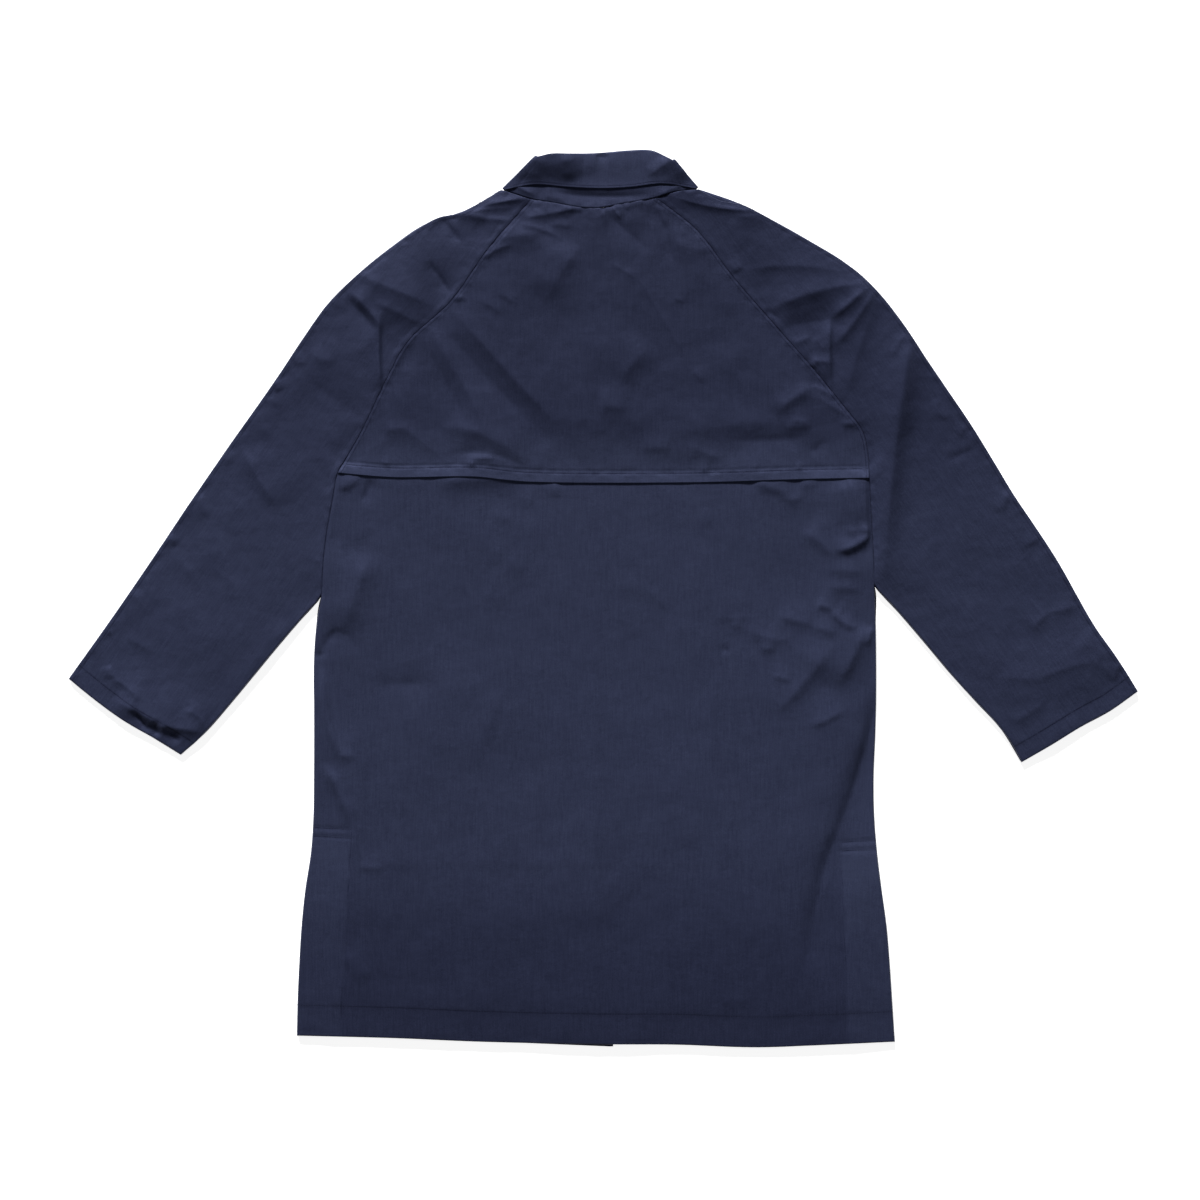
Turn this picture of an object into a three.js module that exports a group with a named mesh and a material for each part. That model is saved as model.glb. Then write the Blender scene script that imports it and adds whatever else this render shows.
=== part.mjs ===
// A raglan-sleeved coat with a storm flap, laid flat on its front with its back up.
// Units are millimetres and +Z is up. X runs across the coat, and Y runs from the hem to the collar.
// Left and right are the wearer's, so left is at -X.

import * as THREE from 'three';

// ---------------------------------------------------------------- driving sizes

const CLOTH = 1.6;              // a panel's thickness: outer cloth, its turnings and what backs it
const AIR = 0.4;                // between two layers that lie on each other
const LAYER = CLOTH + AIR;      // from one layer to the next
const SEAM_GAP = 0.3;           // between two panels that are sewn together edge to edge
const LOFT = 3.2;               // the back stands this much higher inside than at its edges
const LOFT_REACH = 24;          // distance from the outline over which it rises
const FOLD_REACH = 16;          // folds fade out this close to the outline
const FLAP_LIFT = 1.4;          // the storm flap's loose lower edge stands up by this much

const FRONT_LEFT_EDGE = 11;     // x of the left front's free edge, on the floor
const FRONT_RIGHT_EDGE = -32;   // x of the right front's free edge, inside the left one
const LAP_LINE = 13;            // the right front is lifted over the left one as far as this x
const LAP_SLOPE = 40;           // and comes down to the floor over this distance
const BACK_STEP = 14;           // the back's lift over the lap reaches this far past it on each side
const CENTRE_FRONT = -4;
const FRONT_NECK_Y = 372;

const COLLAR_CLOTH = 1.4;       // thickness of the collar's two parts
const COLLAR_HALF_GAP = 1.05;   // from the collar's middle surface to the leaf, and to the stand
const COLLAR_FRONT_Z = 1.75;    // height of that middle surface under the fronts
const COLLAR_BACK_Z = 5.65;     // and at the back, along the roll
const COLLAR_NECK_RISE = 2.2;   // the stand climbs by this to the back neck seam
const LEAF_EDGE_RISE = 3.2;     // the leaf's loose edge stands off the stand

// How many steps each stretch of the coat is divided into.
const STEPS = {
  backAcross: 26, yoke: 15, flapToUnderarm: 5, underarmToHem: 22,
  sleeveAcross: 8, sleeveEnd: 10,
  frontAcross: 7, frontYoke: 11, frontSkirt: 12, frontSleeveAcross: 4, frontSleeveEnd: 6,
  collarBack: 22, collarFront: 6, collarFold: 4, collarRoll: 4, leafAcross: 4, standAcross: 3,
};

// ---------------------------------------------------------------- the cut, as outlines
// Each outline has only the points that its shape needs: [x, y] in order.

const OUTLINES = {
  // back neck seam, from the left raglan seam to the right one
  neck: [[-83, 458.5], [-56, 454], [-26, 449], [-4, 448], [12, 451.5], [38, 456], [60.6, 460]],
  // raglan seams of the back, down to where the flap ends, and on to the underarm
  raglanLeft: [[-83, 458.5], [-133, 401], [-175, 342], [-225, 295], [-252, 246], [-278, 192], [-305, 145]],
  raglanRight: [[60.6, 460], [107, 424], [148, 371], [201, 310], [245, 260], [272, 226], [300, 188], [305.5, 139]],
  armholeLeft: [[-305, 145], [-313, 103], [-319.5, 63], [-324.6, 3]],
  armholeRight: [[305.5, 139], [309, 78], [312, 15]],
  flapEdge: [[-305, 145], [-243, 140], [-149, 140.5], [-91, 135], [102, 134], [243, 138], [305.5, 139]],
  underarmLine: [[-324.6, 3], [-150, -14], [150, -8], [312, 15]],
  sideLeft: [[-324.6, 3], [-332, -52], [-332.5, -159], [-334.7, -277], [-345, -353], [-351, -449], [-352.4, -502]],
  sideRight: [[312, 15], [313.5, -46], [313.5, -130], [310.6, -228], [316.4, -307], [325.6, -375], [335.2, -509]],
  hem: [[-352.4, -502], [-238, -505], [-142, -509], [-4, -512], [83, -512.4], [174, -515.5], [248, -513], [335.2, -509]],
  // sleeves: shoulder and elbow edge, cuff end of it, cuff, and underarm edge
  overarmLeft: [[-117.6, 470], [-151, 451], [-172, 441], [-190, 438.5], [-249, 401], [-312, 345],
    [-339, 309], [-381, 246], [-426, 182.5], [-481, 102.5]],
  overarmRight: [[111, 470.6], [134, 458.5], [153, 456], [212, 426], [295, 374], [341, 322],
    [379, 265], [422, 202], [472, 120]],
  forearmLeft: [[-481, 102.5], [-522, 41], [-567, -24.5], [-614.8, -91.5]],
  forearmRight: [[472, 120], [522, 44.5], [563, -28], [595, -74], [614.8, -106]],
  cuffLeft: [[-614.8, -91.5], [-590, -112], [-550, -141], [-508, -165], [-486, -179]],
  cuffRight: [[481, -187.6], [510, -171], [556, -143], [584, -128], [614.8, -106]],
  underarmLeft: [[-324.6, 3], [-367, -46], [-436, -129], [-465, -161], [-486, -179]],
  underarmRight: [[312, 15], [348, -25], [409, -97], [461, -154], [481, -187.6]],
  sleeveNeckLeft: [[-117.6, 470], [-83, 458.5]],
  sleeveNeckRight: [[60.6, 460], [84, 467.5], [111, 470.6]],
  // the fronts, which the back hides
  frontRaglanLeft: [[-87, 417], [-153, 309], [-211, 217], [-268, 113], [-324.6, 3]],
  frontRaglanRight: [[79, 417], [142, 309], [200, 217], [257, 113], [312, 15]],
  frontNeckLeft: [[-87, 417], [-66, 395], [-40, 380], [CENTRE_FRONT, FRONT_NECK_Y], [FRONT_LEFT_EDGE, FRONT_NECK_Y - 1]],
  frontNeckRight: [[LAP_LINE, FRONT_NECK_Y + 1], [32, 380], [58, 395], [79, 417]],
  frontHemLeft: [[-352.4, -500], [-238, -503.5], [-142, -507.5], [-32, -512.5], [FRONT_LEFT_EDGE, -514.5]],
  frontHemRight: [[LAP_LINE, -511], [83, -511], [174, -513.5], [248, -511], [335.2, -507]],
  frontSleeveNeckLeft: [[-117.6, 470], [-104, 440], [-87, 417]],
  frontSleeveNeckRight: [[79, 417], [96, 440], [111, 470.6]],
};

// The collar is one band round the neck, pressed flat: its back half is up and its front halves are
// under the coat. It turns under along a line at each side. A row for each place along it, from the
// left front end to the right one: the roll where the leaf turns over, and the leaf's loose edge.
const COLLAR_COLUMNS = ['part', 'rollX', 'rollY', 'edgeX', 'edgeY'];
const COLLAR = [
  ['frontLeft', -7, 409, -58, 342],
  ['frontLeft', -34, 430, -92, 384],
  ['frontLeft', -60, 466, -106, 428],
  ['foldLeft', -76.4, 506.4, -113.5, 470],
  ['back', -62, 510, -80, 476],
  ['back', -38, 510, -45, 473.5],
  ['back', -4, 511, -4, 471.5],
  ['back', 32, 514, 32, 473],
  ['back', 58, 513.5, 67, 477],
  ['foldRight', 80.2, 501.6, 106.5, 471.3],
  ['frontRight', 56, 466, 98, 428],
  ['frontRight', 29, 430, 84, 384],
  ['frontRight', -1, 409, 50, 342],
];

// ---------------------------------------------------------------- folds
// A row for each large fold of the upper layers: where it starts and ends, how far its middle bows to
// its left, its half width, and how far the cloth rises in a ridge or, below zero, sinks in a trough.
const FOLD_COLUMNS = ['x1', 'y1', 'x2', 'y2', 'bow', 'halfWidth', 'rise'];
const FOLDS = [
  // storm flap
  [-188, 322, -69, 189, 6, 15, -2.4], [-208, 300, -92, 168, 6, 14, 1.6], [-24, 399, -61, 334, 0, 13, -1.7],
  [8, 446, 53, 404, 4, 13, -1.6], [-92, 436, -27, 446, 4, 12, -1.2], [18, 242, 61, 277, 0, 18, -1.5],
  [145, 195, 232, 189, 0, 16, -1.3], [245, 232, 294, 200, 0, 14, -1.5], [-60, 240, 10, 216, 0, 20, 1.2],
  // left sleeve, from the shoulder to the cuff
  [-275, 369, -206, 332, 0, 13, -1.8], [-294, 348, -256, 309, 0, 13, -2.0], [-255, 308, -251, 250, 0, 13, -2.0],
  [-332, 245, -294, 207, 0, 18, -1.6], [-411, 169, -373, 106, 0, 15, -1.7], [-499, 69, -468, 27, 0, 14, -1.4],
  [-544, -42, -518, -60, 0, 13, -1.4], [-552, -126, -520, -154, 0, 13, 1.6], [-440, 20, -400, -60, 0, 18, 1.4],
  // right sleeve
  [200, 320, 301, 361, 6, 16, -2.8], [263, 332, 293, 356, 0, 12, 2.0], [263, 301, 295, 346, 0, 12, -2.0],
  [267, 290, 314, 354, 0, 12, 1.8], [290, 295, 316, 348, 0, 12, -1.8], [262, 319, 262, 248, 0, 13, -1.5],
  [360, 288, 330, 24, 8, 17, -2.3], [498, -34, 543, -11, 0, 13, -1.7], [460, -95, 582, -74, -7, 14, 1.8],
  [513, -144, 588, -103, 5, 12, -1.2], [430, 110, 470, 40, 0, 20, 1.2],
  // back, left side
  [-261, 37, -294, -28, 0, 18, -1.9], [-294, -43, -327, -64, 0, 13, -1.6], [-322, -81, -302, -182, 5, 13, -1.6],
  [-326, -190, -304, -243, 0, 13, -1.8], [-290, -222, -280, -300, 0, 13, -1.5], [-299, -190, -291, -250, 0, 12, 1.2],
  // back, right side
  [284, 133, 309, 78, 0, 13, -2.0], [309, 76, 277, 51, 0, 13, -2.0], [223, 74, 267, 42, 0, 15, -1.6],
  [249, -12, 290, -36, 0, 13, -1.7], [161, -37, 214, -52, 0, 14, -1.4], [310, -31, 272, -98, 0, 14, -1.6],
  [255, -64, 202, -128, 0, 18, -1.7], [310, -134, 255, -300, -6, 15, -2.7], [255, -300, 228, -396, 4, 15, -2.4],
  [284, -300, 250, -400, 4, 16, 1.3], [271, -387, 233, -452, 0, 14, -1.4],
  // back, down the middle and across the skirt
  [-9, 10, -9, -505, 0, 20, 0.9], [-280, -302, 100, -302, 0, 22, -0.9], [-180, -60, -160, -420, 10, 30, 1.0],
  [110, -90, 130, -430, -8, 30, 1.0],
];

// ---------------------------------------------------------------- helpers

const named = (columns, rows) =>
  rows.map((row) => Object.fromEntries(columns.map((name, i) => [name, row[i]])));

// Points a given number of even steps apart along a smooth curve through the named outline.
function along(name, steps) {
  const knots = OUTLINES[name].map(([x, y]) => new THREE.Vector3(x, y, 0));
  return new THREE.CatmullRomCurve3(knots, false, 'centripetal').getSpacedPoints(steps);
}

// A row of points moved sideways in plan, to the left of its own direction.
function movedSideways(points, distance) {
  return points.map((point, i) => {
    const next = points[Math.min(i + 1, points.length - 1)];
    const last = points[Math.max(i - 1, 0)];
    const side = new THREE.Vector3(last.y - next.y, next.x - last.x, 0).normalize();
    return point.clone().addScaledVector(side, distance);
  });
}

const joined = (first, second) => [...first, ...second.slice(1)];

const smooth = (low, high, value) => THREE.MathUtils.smoothstep(value, low, high);

// A grid of rows that fills the space between four edges. The top and bottom edges run from left to
// right and the side edges from top to bottom.
function filled(top, bottom, left, right) {
  return left.map((leftPoint, j) => top.map((topPoint, i) => {
    const v = j / (left.length - 1);
    const u = i / (top.length - 1);
    return new THREE.Vector3()
      .addScaledVector(topPoint, 1 - v).addScaledVector(bottom[i], v)
      .addScaledVector(leftPoint, 1 - u).addScaledVector(right[j], u)
      .addScaledVector(top[0], -(1 - u) * (1 - v)).addScaledVector(top.at(-1), -u * (1 - v))
      .addScaledVector(bottom[0], -(1 - u) * v).addScaledVector(bottom.at(-1), -u * v);
  }));
}

// The closed wall between two grids of points: `outer` shows the cloth's upper or outer face.
function wallBetween(outer, inner) {
  const across = outer[0].length;
  const count = outer.length * across;
  const positions = [...outer.flat(), ...inner.flat()].flatMap((p) => [p.x, p.y, p.z]);
  const at = (j, i) => j * across + i;
  const faces = [];
  for (let j = 0; j + 1 < outer.length; j += 1) {
    for (let i = 0; i + 1 < across; i += 1) {
      const [a, b, c, d] = [at(j, i), at(j + 1, i), at(j + 1, i + 1), at(j, i + 1)];
      for (const [p, q, r] of [[a, b, c], [a, c, d]]) {
        faces.push(p, q, r, count + p, count + r, count + q);
      }
    }
  }
  const rim = [];
  for (let j = 0; j + 1 < outer.length; j += 1) rim.push(at(j, 0));
  for (let i = 0; i + 1 < across; i += 1) rim.push(at(outer.length - 1, i));
  for (let j = outer.length - 1; j > 0; j -= 1) rim.push(at(j, across - 1));
  for (let i = across - 1; i > 0; i -= 1) rim.push(at(0, i));
  rim.forEach((p, k) => {
    const q = rim[(k + 1) % rim.length];
    faces.push(count + p, count + q, q, count + p, q, p);
  });
  const geometry = new THREE.BufferGeometry();
  geometry.setAttribute('position', new THREE.Float32BufferAttribute(positions, 3));
  geometry.setIndex(faces);
  geometry.computeVertexNormals();
  return geometry;
}

// A panel that lies flat: its plan points with an underside at a given height, and the cloth above it.
function panel(rows, undersideAt) {
  const raised = (lift) => rows.map((row) => row.map((p) => new THREE.Vector3(p.x, p.y, undersideAt(p) + lift)));
  return wallBetween(raised(CLOTH), raised(0));
}

// ---------------------------------------------------------------- heights of the layers

const outline = [
  ...along('overarmLeft', 30), ...along('forearmLeft', 12), ...along('cuffLeft', 8),
  ...along('underarmLeft', 12).reverse(), ...along('sideLeft', 24), ...along('hem', 24),
  ...along('sideRight', 24).reverse(), ...along('underarmRight', 12), ...along('cuffRight', 8),
  ...along('forearmRight', 12).reverse(), ...along('overarmRight', 30).reverse(),
];

function distanceToOutline(p) {
  const nearest = new THREE.Vector3();
  const edge = new THREE.Line3();
  let least = Infinity;
  for (let k = 0; k + 1 < outline.length; k += 1) {
    edge.set(outline[k], outline[k + 1]).closestPointToPoint(p, true, nearest);
    least = Math.min(least, Math.hypot(nearest.x - p.x, nearest.y - p.y));
  }
  return least;
}

// The front halves of the collar lie under the coat round the neck and lift all that is on them.
function collarLift({ x, y }) {
  const reach = Math.hypot((x - CENTRE_FRONT) / 168, (y - 408) / 118);
  return LAYER * (1 - smooth(0.86, 1.2, reach));
}

// Where the two fronts lap, the right one and the back are each a layer higher. The back is wider there
// by a step of its own grid, so that it clears the fronts between its points.
const lapSlope = (x, start) => 1 - smooth(start, start + LAP_SLOPE, x);
const lapLift = ({ x }) => LAYER * lapSlope(x, LAP_LINE + BACK_STEP) * lapSlope(-x, BACK_STEP - FRONT_RIGHT_EDGE);

const folds = named(FOLD_COLUMNS, FOLDS).map((fold) => {
  const length = Math.hypot(fold.x2 - fold.x1, fold.y2 - fold.y1);
  return { ...fold, length, alongX: (fold.x2 - fold.x1) / length, alongY: (fold.y2 - fold.y1) / length };
});

function foldHeight(p) {
  return folds.reduce((sum, fold) => {
    const run = (p.x - fold.x1) * fold.alongX + (p.y - fold.y1) * fold.alongY;
    const t = THREE.MathUtils.clamp(run / fold.length, 0, 1);
    const past = run - t * fold.length;
    const aside = (p.y - fold.y1) * fold.alongX - (p.x - fold.x1) * fold.alongY - 4 * fold.bow * t * (1 - t);
    const fade = smooth(-0.05, 0.3, t) * (1 - smooth(0.7, 1.05, t));
    return sum + fold.rise * fade * Math.exp(-(aside ** 2 + past ** 2) / fold.halfWidth ** 2);
  }, 0);
}

const frontUnderside = (p) => collarLift(p);
const frontRightUnderside = (p) => collarLift(p) + LAYER * lapSlope(p.x, LAP_LINE);

function backUnderside(p) {
  const lifts = collarLift(p) + lapLift(p);
  const edge = distanceToOutline(p);
  const loft = LOFT * Math.sqrt(smooth(0, LOFT_REACH, edge)) * (1 - lifts / (2.5 * LAYER));
  const fold = foldHeight(p) * smooth(0, FOLD_REACH, edge);
  return LAYER + lifts + Math.max(0.2, loft + fold) * smooth(-1, 6, edge);
}

// ---------------------------------------------------------------- pieces

const half = SEAM_GAP / 2;

function backRows() {
  const { backAcross, yoke, flapToUnderarm, underarmToHem } = STEPS;
  const flapEdge = along('flapEdge', backAcross);
  const underarmLine = along('underarmLine', backAcross);
  const stretch = (top, bottom, left, right) =>
    filled(top, bottom, movedSideways(left, half), movedSideways(right, -half));
  const yokeRows = stretch(movedSideways(along('neck', backAcross), -half), flapEdge,
    along('raglanLeft', yoke), along('raglanRight', yoke));
  const armholeRows = stretch(flapEdge, underarmLine,
    along('armholeLeft', flapToUnderarm), along('armholeRight', flapToUnderarm));
  const skirtRows = filled(underarmLine, along('hem', backAcross),
    along('sideLeft', underarmToHem), along('sideRight', underarmToHem));
  return { all: joined(joined(yokeRows, armholeRows), skirtRows), yoke: yokeRows };
}

// The storm flap is cut like the back above its lower edge and lies on it, caught in the same seams.
function stormFlap(rows) {
  const last = rows.length - 1;
  const lift = (j) => AIR + FLAP_LIFT * smooth(last - 4, last, j);
  const raised = (j, p) => new THREE.Vector3(p.x, p.y, backUnderside(p) + CLOTH + lift(j));
  const inner = rows.map((row, j) => row.map((p) => raised(j, p)));
  const outer = inner.map((row) => row.map((p) => p.clone().setZ(p.z + CLOTH)));
  return wallBetween(outer, inner);
}

// Half a sleeve from the neck to the cuff. `outside` is the shoulder and elbow edge and `inside` the
// raglan seam and then the underarm edge.
function sleeveRows(side, steps, across, raglan, neck) {
  const isLeft = side === 'Left';
  const seamShift = isLeft ? -half : half;
  const seam = movedSideways(raglan, seamShift);
  const shoulder = along(`overarm${side}`, steps.upper);
  const forearm = along(`forearm${side}`, steps.lower);
  const underarm = along(`underarm${side}`, steps.lower);
  underarm[0] = seam.at(-1);
  const outsideUpper = isLeft ? shoulder : seam;
  const insideUpper = isLeft ? seam : shoulder;
  const elbow = new THREE.LineCurve3(outsideUpper.at(-1), insideUpper.at(-1)).getPoints(across);
  const upper = filled(movedSideways(along(neck, across), -half), elbow, outsideUpper, insideUpper);
  const lower = filled(elbow, along(`cuff${side}`, across),
    isLeft ? forearm : underarm, isLeft ? underarm : forearm);
  return joined(upper, lower);
}

function backSleeve(side) {
  const { yoke, flapToUnderarm, sleeveEnd, sleeveAcross } = STEPS;
  const raglan = joined(along(`raglan${side}`, yoke), along(`armhole${side}`, flapToUnderarm));
  const steps = { upper: yoke + flapToUnderarm, lower: sleeveEnd };
  return panel(sleeveRows(side, steps, sleeveAcross, raglan, `sleeveNeck${side}`), backUnderside);
}

function frontSleeve(side) {
  const { frontYoke, frontSleeveEnd, frontSleeveAcross } = STEPS;
  const steps = { upper: frontYoke, lower: frontSleeveEnd };
  const raglan = along(`frontRaglan${side}`, frontYoke);
  return panel(sleeveRows(side, steps, frontSleeveAcross, raglan, `frontSleeveNeck${side}`), frontUnderside);
}

const straight = (x, fromY, toY, steps) =>
  new THREE.LineCurve3(new THREE.Vector3(x, fromY, 0), new THREE.Vector3(x, toY, 0)).getPoints(steps);

function frontLeft() {
  const { frontYoke, frontSkirt, frontAcross } = STEPS;
  const chest = new THREE.LineCurve3(new THREE.Vector3(-324.6, 3, 0), new THREE.Vector3(FRONT_LEFT_EDGE, -10, 0))
    .getPoints(frontAcross);
  const hem = along('frontHemLeft', frontAcross);
  const seam = movedSideways(along('frontRaglanLeft', frontYoke), half);
  const upper = filled(movedSideways(along('frontNeckLeft', frontAcross), -half), chest, seam,
    straight(FRONT_LEFT_EDGE, FRONT_NECK_Y - 1, -10, frontYoke));
  const lower = filled(chest, hem, along('sideLeft', frontSkirt), straight(FRONT_LEFT_EDGE, -10, -514.5, frontSkirt));
  return panel(joined(upper, lower), frontUnderside);
}

// The right front has a straight strip that laps inside the left one, and the rest beyond the lap line.
function frontRight() {
  const { frontYoke, frontSkirt, frontAcross } = STEPS;
  const chest = new THREE.LineCurve3(new THREE.Vector3(LAP_LINE, -10, 0), new THREE.Vector3(312, 15, 0))
    .getPoints(frontAcross);
  const seam = movedSideways(along('frontRaglanRight', frontYoke), -half);
  const upper = filled(movedSideways(along('frontNeckRight', frontAcross), -half), chest,
    straight(LAP_LINE, FRONT_NECK_Y + 1, -10, frontYoke), seam);
  const lower = filled(chest, along('frontHemRight', frontAcross), straight(LAP_LINE, -10, -511, frontSkirt),
    along('sideRight', frontSkirt));
  const rows = joined(upper, lower).map((row) => {
    const strip = row[0].clone().setX(FRONT_RIGHT_EDGE);
    return [strip, strip.clone().lerp(row[0], 0.5), ...row];
  });
  return panel(rows, frontRightUnderside);
}

// ---------------------------------------------------------------- collar

// The collar is sewn to the neck edges of these pieces, from the left front end round to the right.
const NECK_EDGES = {
  frontLeft: ['frontNeckLeft', 'frontSleeveNeckLeft'],
  back: ['sleeveNeckLeft', 'neck', 'sleeveNeckRight'],
  frontRight: ['frontNeckRight', 'frontSleeveNeckRight'],
};
const NECK_EDGE_DETAIL = 12;

// Even points along a stretch of the neck seam, on the collar's side of it.
function neckPoints(stretch, steps) {
  const dense = NECK_EDGES[stretch].map((name) => along(name, NECK_EDGE_DETAIL));
  if (stretch === 'frontLeft') dense.forEach((points, k) => { dense[k] = points.reverse(); });
  if (stretch === 'frontRight') dense.reverse().forEach((points, k) => { dense[k] = points.reverse(); });
  const seam = movedSideways(dense.reduce(joined), stretch === 'back' ? SEAM_GAP : -SEAM_GAP);
  return new THREE.CatmullRomCurve3(seam, false, 'centripetal').getSpacedPoints(steps);
}

// The stations along the collar band: at each, the neck, roll and edge points in plan, the angle at
// which the cloth faces, and how far it is from the folds at the sides, from 0 to 1.
function collarStations() {
  const rows = named(COLLAR_COLUMNS, COLLAR);
  const start = rows.findIndex((row) => row.part === 'foldLeft');
  const end = rows.findIndex((row) => row.part === 'foldRight');
  const backNeck = neckPoints('back', STEPS.collarBack);
  const line = (list, x, y) => new THREE.CatmullRomCurve3(
    list.map((row) => new THREE.Vector3(row[x], row[y], 0)), false, 'centripetal');
  const stretch = (list, neck, facing) => {
    const roll = line(list, 'rollX', 'rollY');
    const edge = line(list, 'edgeX', 'edgeY');
    return neck.map((point, k) => {
      const t = k / (neck.length - 1);
      const rise = facing > 0 ? Math.sqrt(Math.max(0, Math.sin(Math.PI * t))) : 0;
      return { neck: point, roll: roll.getPoint(t), edge: edge.getPoint(t), tilt: facing * Math.PI / 2, rise };
    });
  };
  const left = neckPoints('frontLeft', STEPS.collarFront);
  const right = neckPoints('frontRight', STEPS.collarFront);
  // At its folds the collar's neck edge, its leaf's edge and the end of the roll are in one line.
  backNeck[0] = new THREE.Vector3(rows[start].edgeX, rows[start].edgeY + half, 0);
  backNeck[backNeck.length - 1] = new THREE.Vector3(rows[end].edgeX, rows[end].edgeY + half, 0);
  left[left.length - 1] = backNeck[0];
  right[0] = backNeck.at(-1);
  const turn = (row, neck, direction) => Array.from({ length: STEPS.collarFold - 1 }, (_, k) => ({
    neck,
    roll: new THREE.Vector3(row.rollX, row.rollY, 0),
    edge: new THREE.Vector3(row.edgeX, row.edgeY, 0),
    tilt: direction * ((k + 1) / STEPS.collarFold - 0.5) * Math.PI,
    rise: 0,
  }));
  return [
    ...stretch(rows.slice(0, start + 1), left, -1),
    ...turn(rows[start], backNeck[0], 1),
    ...stretch(rows.slice(start, end + 1), backNeck, 1),
    ...turn(rows[end], backNeck.at(-1), -1),
    ...stretch(rows.slice(end), right, -1),
  ];
}

const MIDDLE_Z = (COLLAR_FRONT_Z + COLLAR_BACK_Z) / 2;
const FOLD_RADIUS = (COLLAR_BACK_Z - COLLAR_FRONT_Z) / 2;

// The direction in which a station's cloth faces, and its point `d` of the way from the roll to `end`.
function collarFacing(station) {
  const down = station.edge.clone().sub(station.roll).normalize();
  const outward = new THREE.Vector3(down.y, -down.x, 0);
  if (outward.x * station.roll.x < 0) outward.negate();
  return outward.multiplyScalar(Math.cos(station.tilt)).setZ(Math.sin(station.tilt));
}

function middlePoint(station, end, t) {
  const facing = collarFacing(station);
  return station.roll.clone().lerp(end, t).addScaledVector(facing, FOLD_RADIUS).add(new THREE.Vector3(0, 0, MIDDLE_Z));
}

// The wall of cloth round a grid of collar points, each with the direction in which the cloth faces.
function collarWall(grid) {
  const moved = (distance) => grid.map((row) => row.map(({ point, facing }) =>
    point.clone().addScaledVector(facing, distance)));
  return wallBetween(moved(COLLAR_CLOTH / 2), moved(-COLLAR_CLOTH / 2));
}

function collarStand(stations) {
  const rows = Array.from({ length: STEPS.standAcross + 1 }, (_, j) => j / STEPS.standAcross);
  return collarWall(rows.map((t) => stations.map((station) => {
    const facing = collarFacing(station);
    const length = station.neck.distanceTo(station.roll);
    const reach = THREE.MathUtils.lerp(SEAM_GAP / length, 1 - 2 * SEAM_GAP / length, t);
    const point = middlePoint(station, station.neck, reach).addScaledVector(facing, -COLLAR_HALF_GAP);
    point.z += COLLAR_NECK_RISE * t * station.rise;
    return { point, facing };
  })));
}

// The leaf starts at the stand's upper edge, turns over it along the roll and falls to its loose edge.
function collarLeaf(stations) {
  const roll = Array.from({ length: STEPS.collarRoll }, (_, k) => k / STEPS.collarRoll);
  const fall = Array.from({ length: STEPS.leafAcross + 1 }, (_, k) => k / STEPS.leafAcross);
  const turned = roll.map((t) => stations.map((station) => {
    const facing = collarFacing(station);
    const down = station.edge.clone().sub(station.roll).normalize();
    const angle = (t - 0.5) * Math.PI;
    const way = facing.clone().multiplyScalar(Math.sin(angle)).addScaledVector(down, -Math.cos(angle));
    return { point: middlePoint(station, station.edge, 0).addScaledVector(way, COLLAR_HALF_GAP), facing: way };
  }));
  const fallen = fall.map((t) => stations.map((station) => {
    const facing = collarFacing(station);
    const point = middlePoint(station, station.edge, t).addScaledVector(facing, COLLAR_HALF_GAP);
    point.z += LEAF_EDGE_RISE * t * station.rise;
    return { point, facing };
  }));
  return collarWall([...turned, ...fallen]);
}

// ---------------------------------------------------------------- the coat

const gabardine = (color) => new THREE.MeshStandardMaterial({ color, roughness: 0.86, metalness: 0 });

function build() {
  const rows = backRows();
  const stations = collarStations();
  const pieces = {
    front_left: [frontLeft(), 0x2a2e43],
    front_right: [frontRight(), 0x2a2e43],
    sleeve_front_left: [frontSleeve('Left'), 0x2a2e43],
    sleeve_front_right: [frontSleeve('Right'), 0x2a2e43],
    back: [panel(rows.all, backUnderside), 0x2e3248],
    sleeve_back_left: [backSleeve('Left'), 0x2d3147],
    sleeve_back_right: [backSleeve('Right'), 0x2d3147],
    back_flap: [stormFlap(rows.yoke), 0x2d3148],
    collar_stand: [collarStand(stations), 0x282c40],
    collar_leaf: [collarLeaf(stations), 0x2e3249],
  };
  const coat = new THREE.Group();
  for (const [name, [geometry, color]] of Object.entries(pieces)) {
    const mesh = new THREE.Mesh(geometry, gabardine(color));
    mesh.name = name;
    coat.add(mesh);
  }
  // The origin is under the middle of the coat, on the surface that it lies on.
  const box = new THREE.Box3().setFromObject(coat);
  coat.position.set(-(box.min.x + box.max.x) / 2, -(box.min.y + box.max.y) / 2, -box.min.z);
  return coat;
}

export default build();
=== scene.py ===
import math

import bmesh
import bpy
import numpy as np
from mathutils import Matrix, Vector, kdtree, noise
from mathutils.bvhtree import BVHTree


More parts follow.
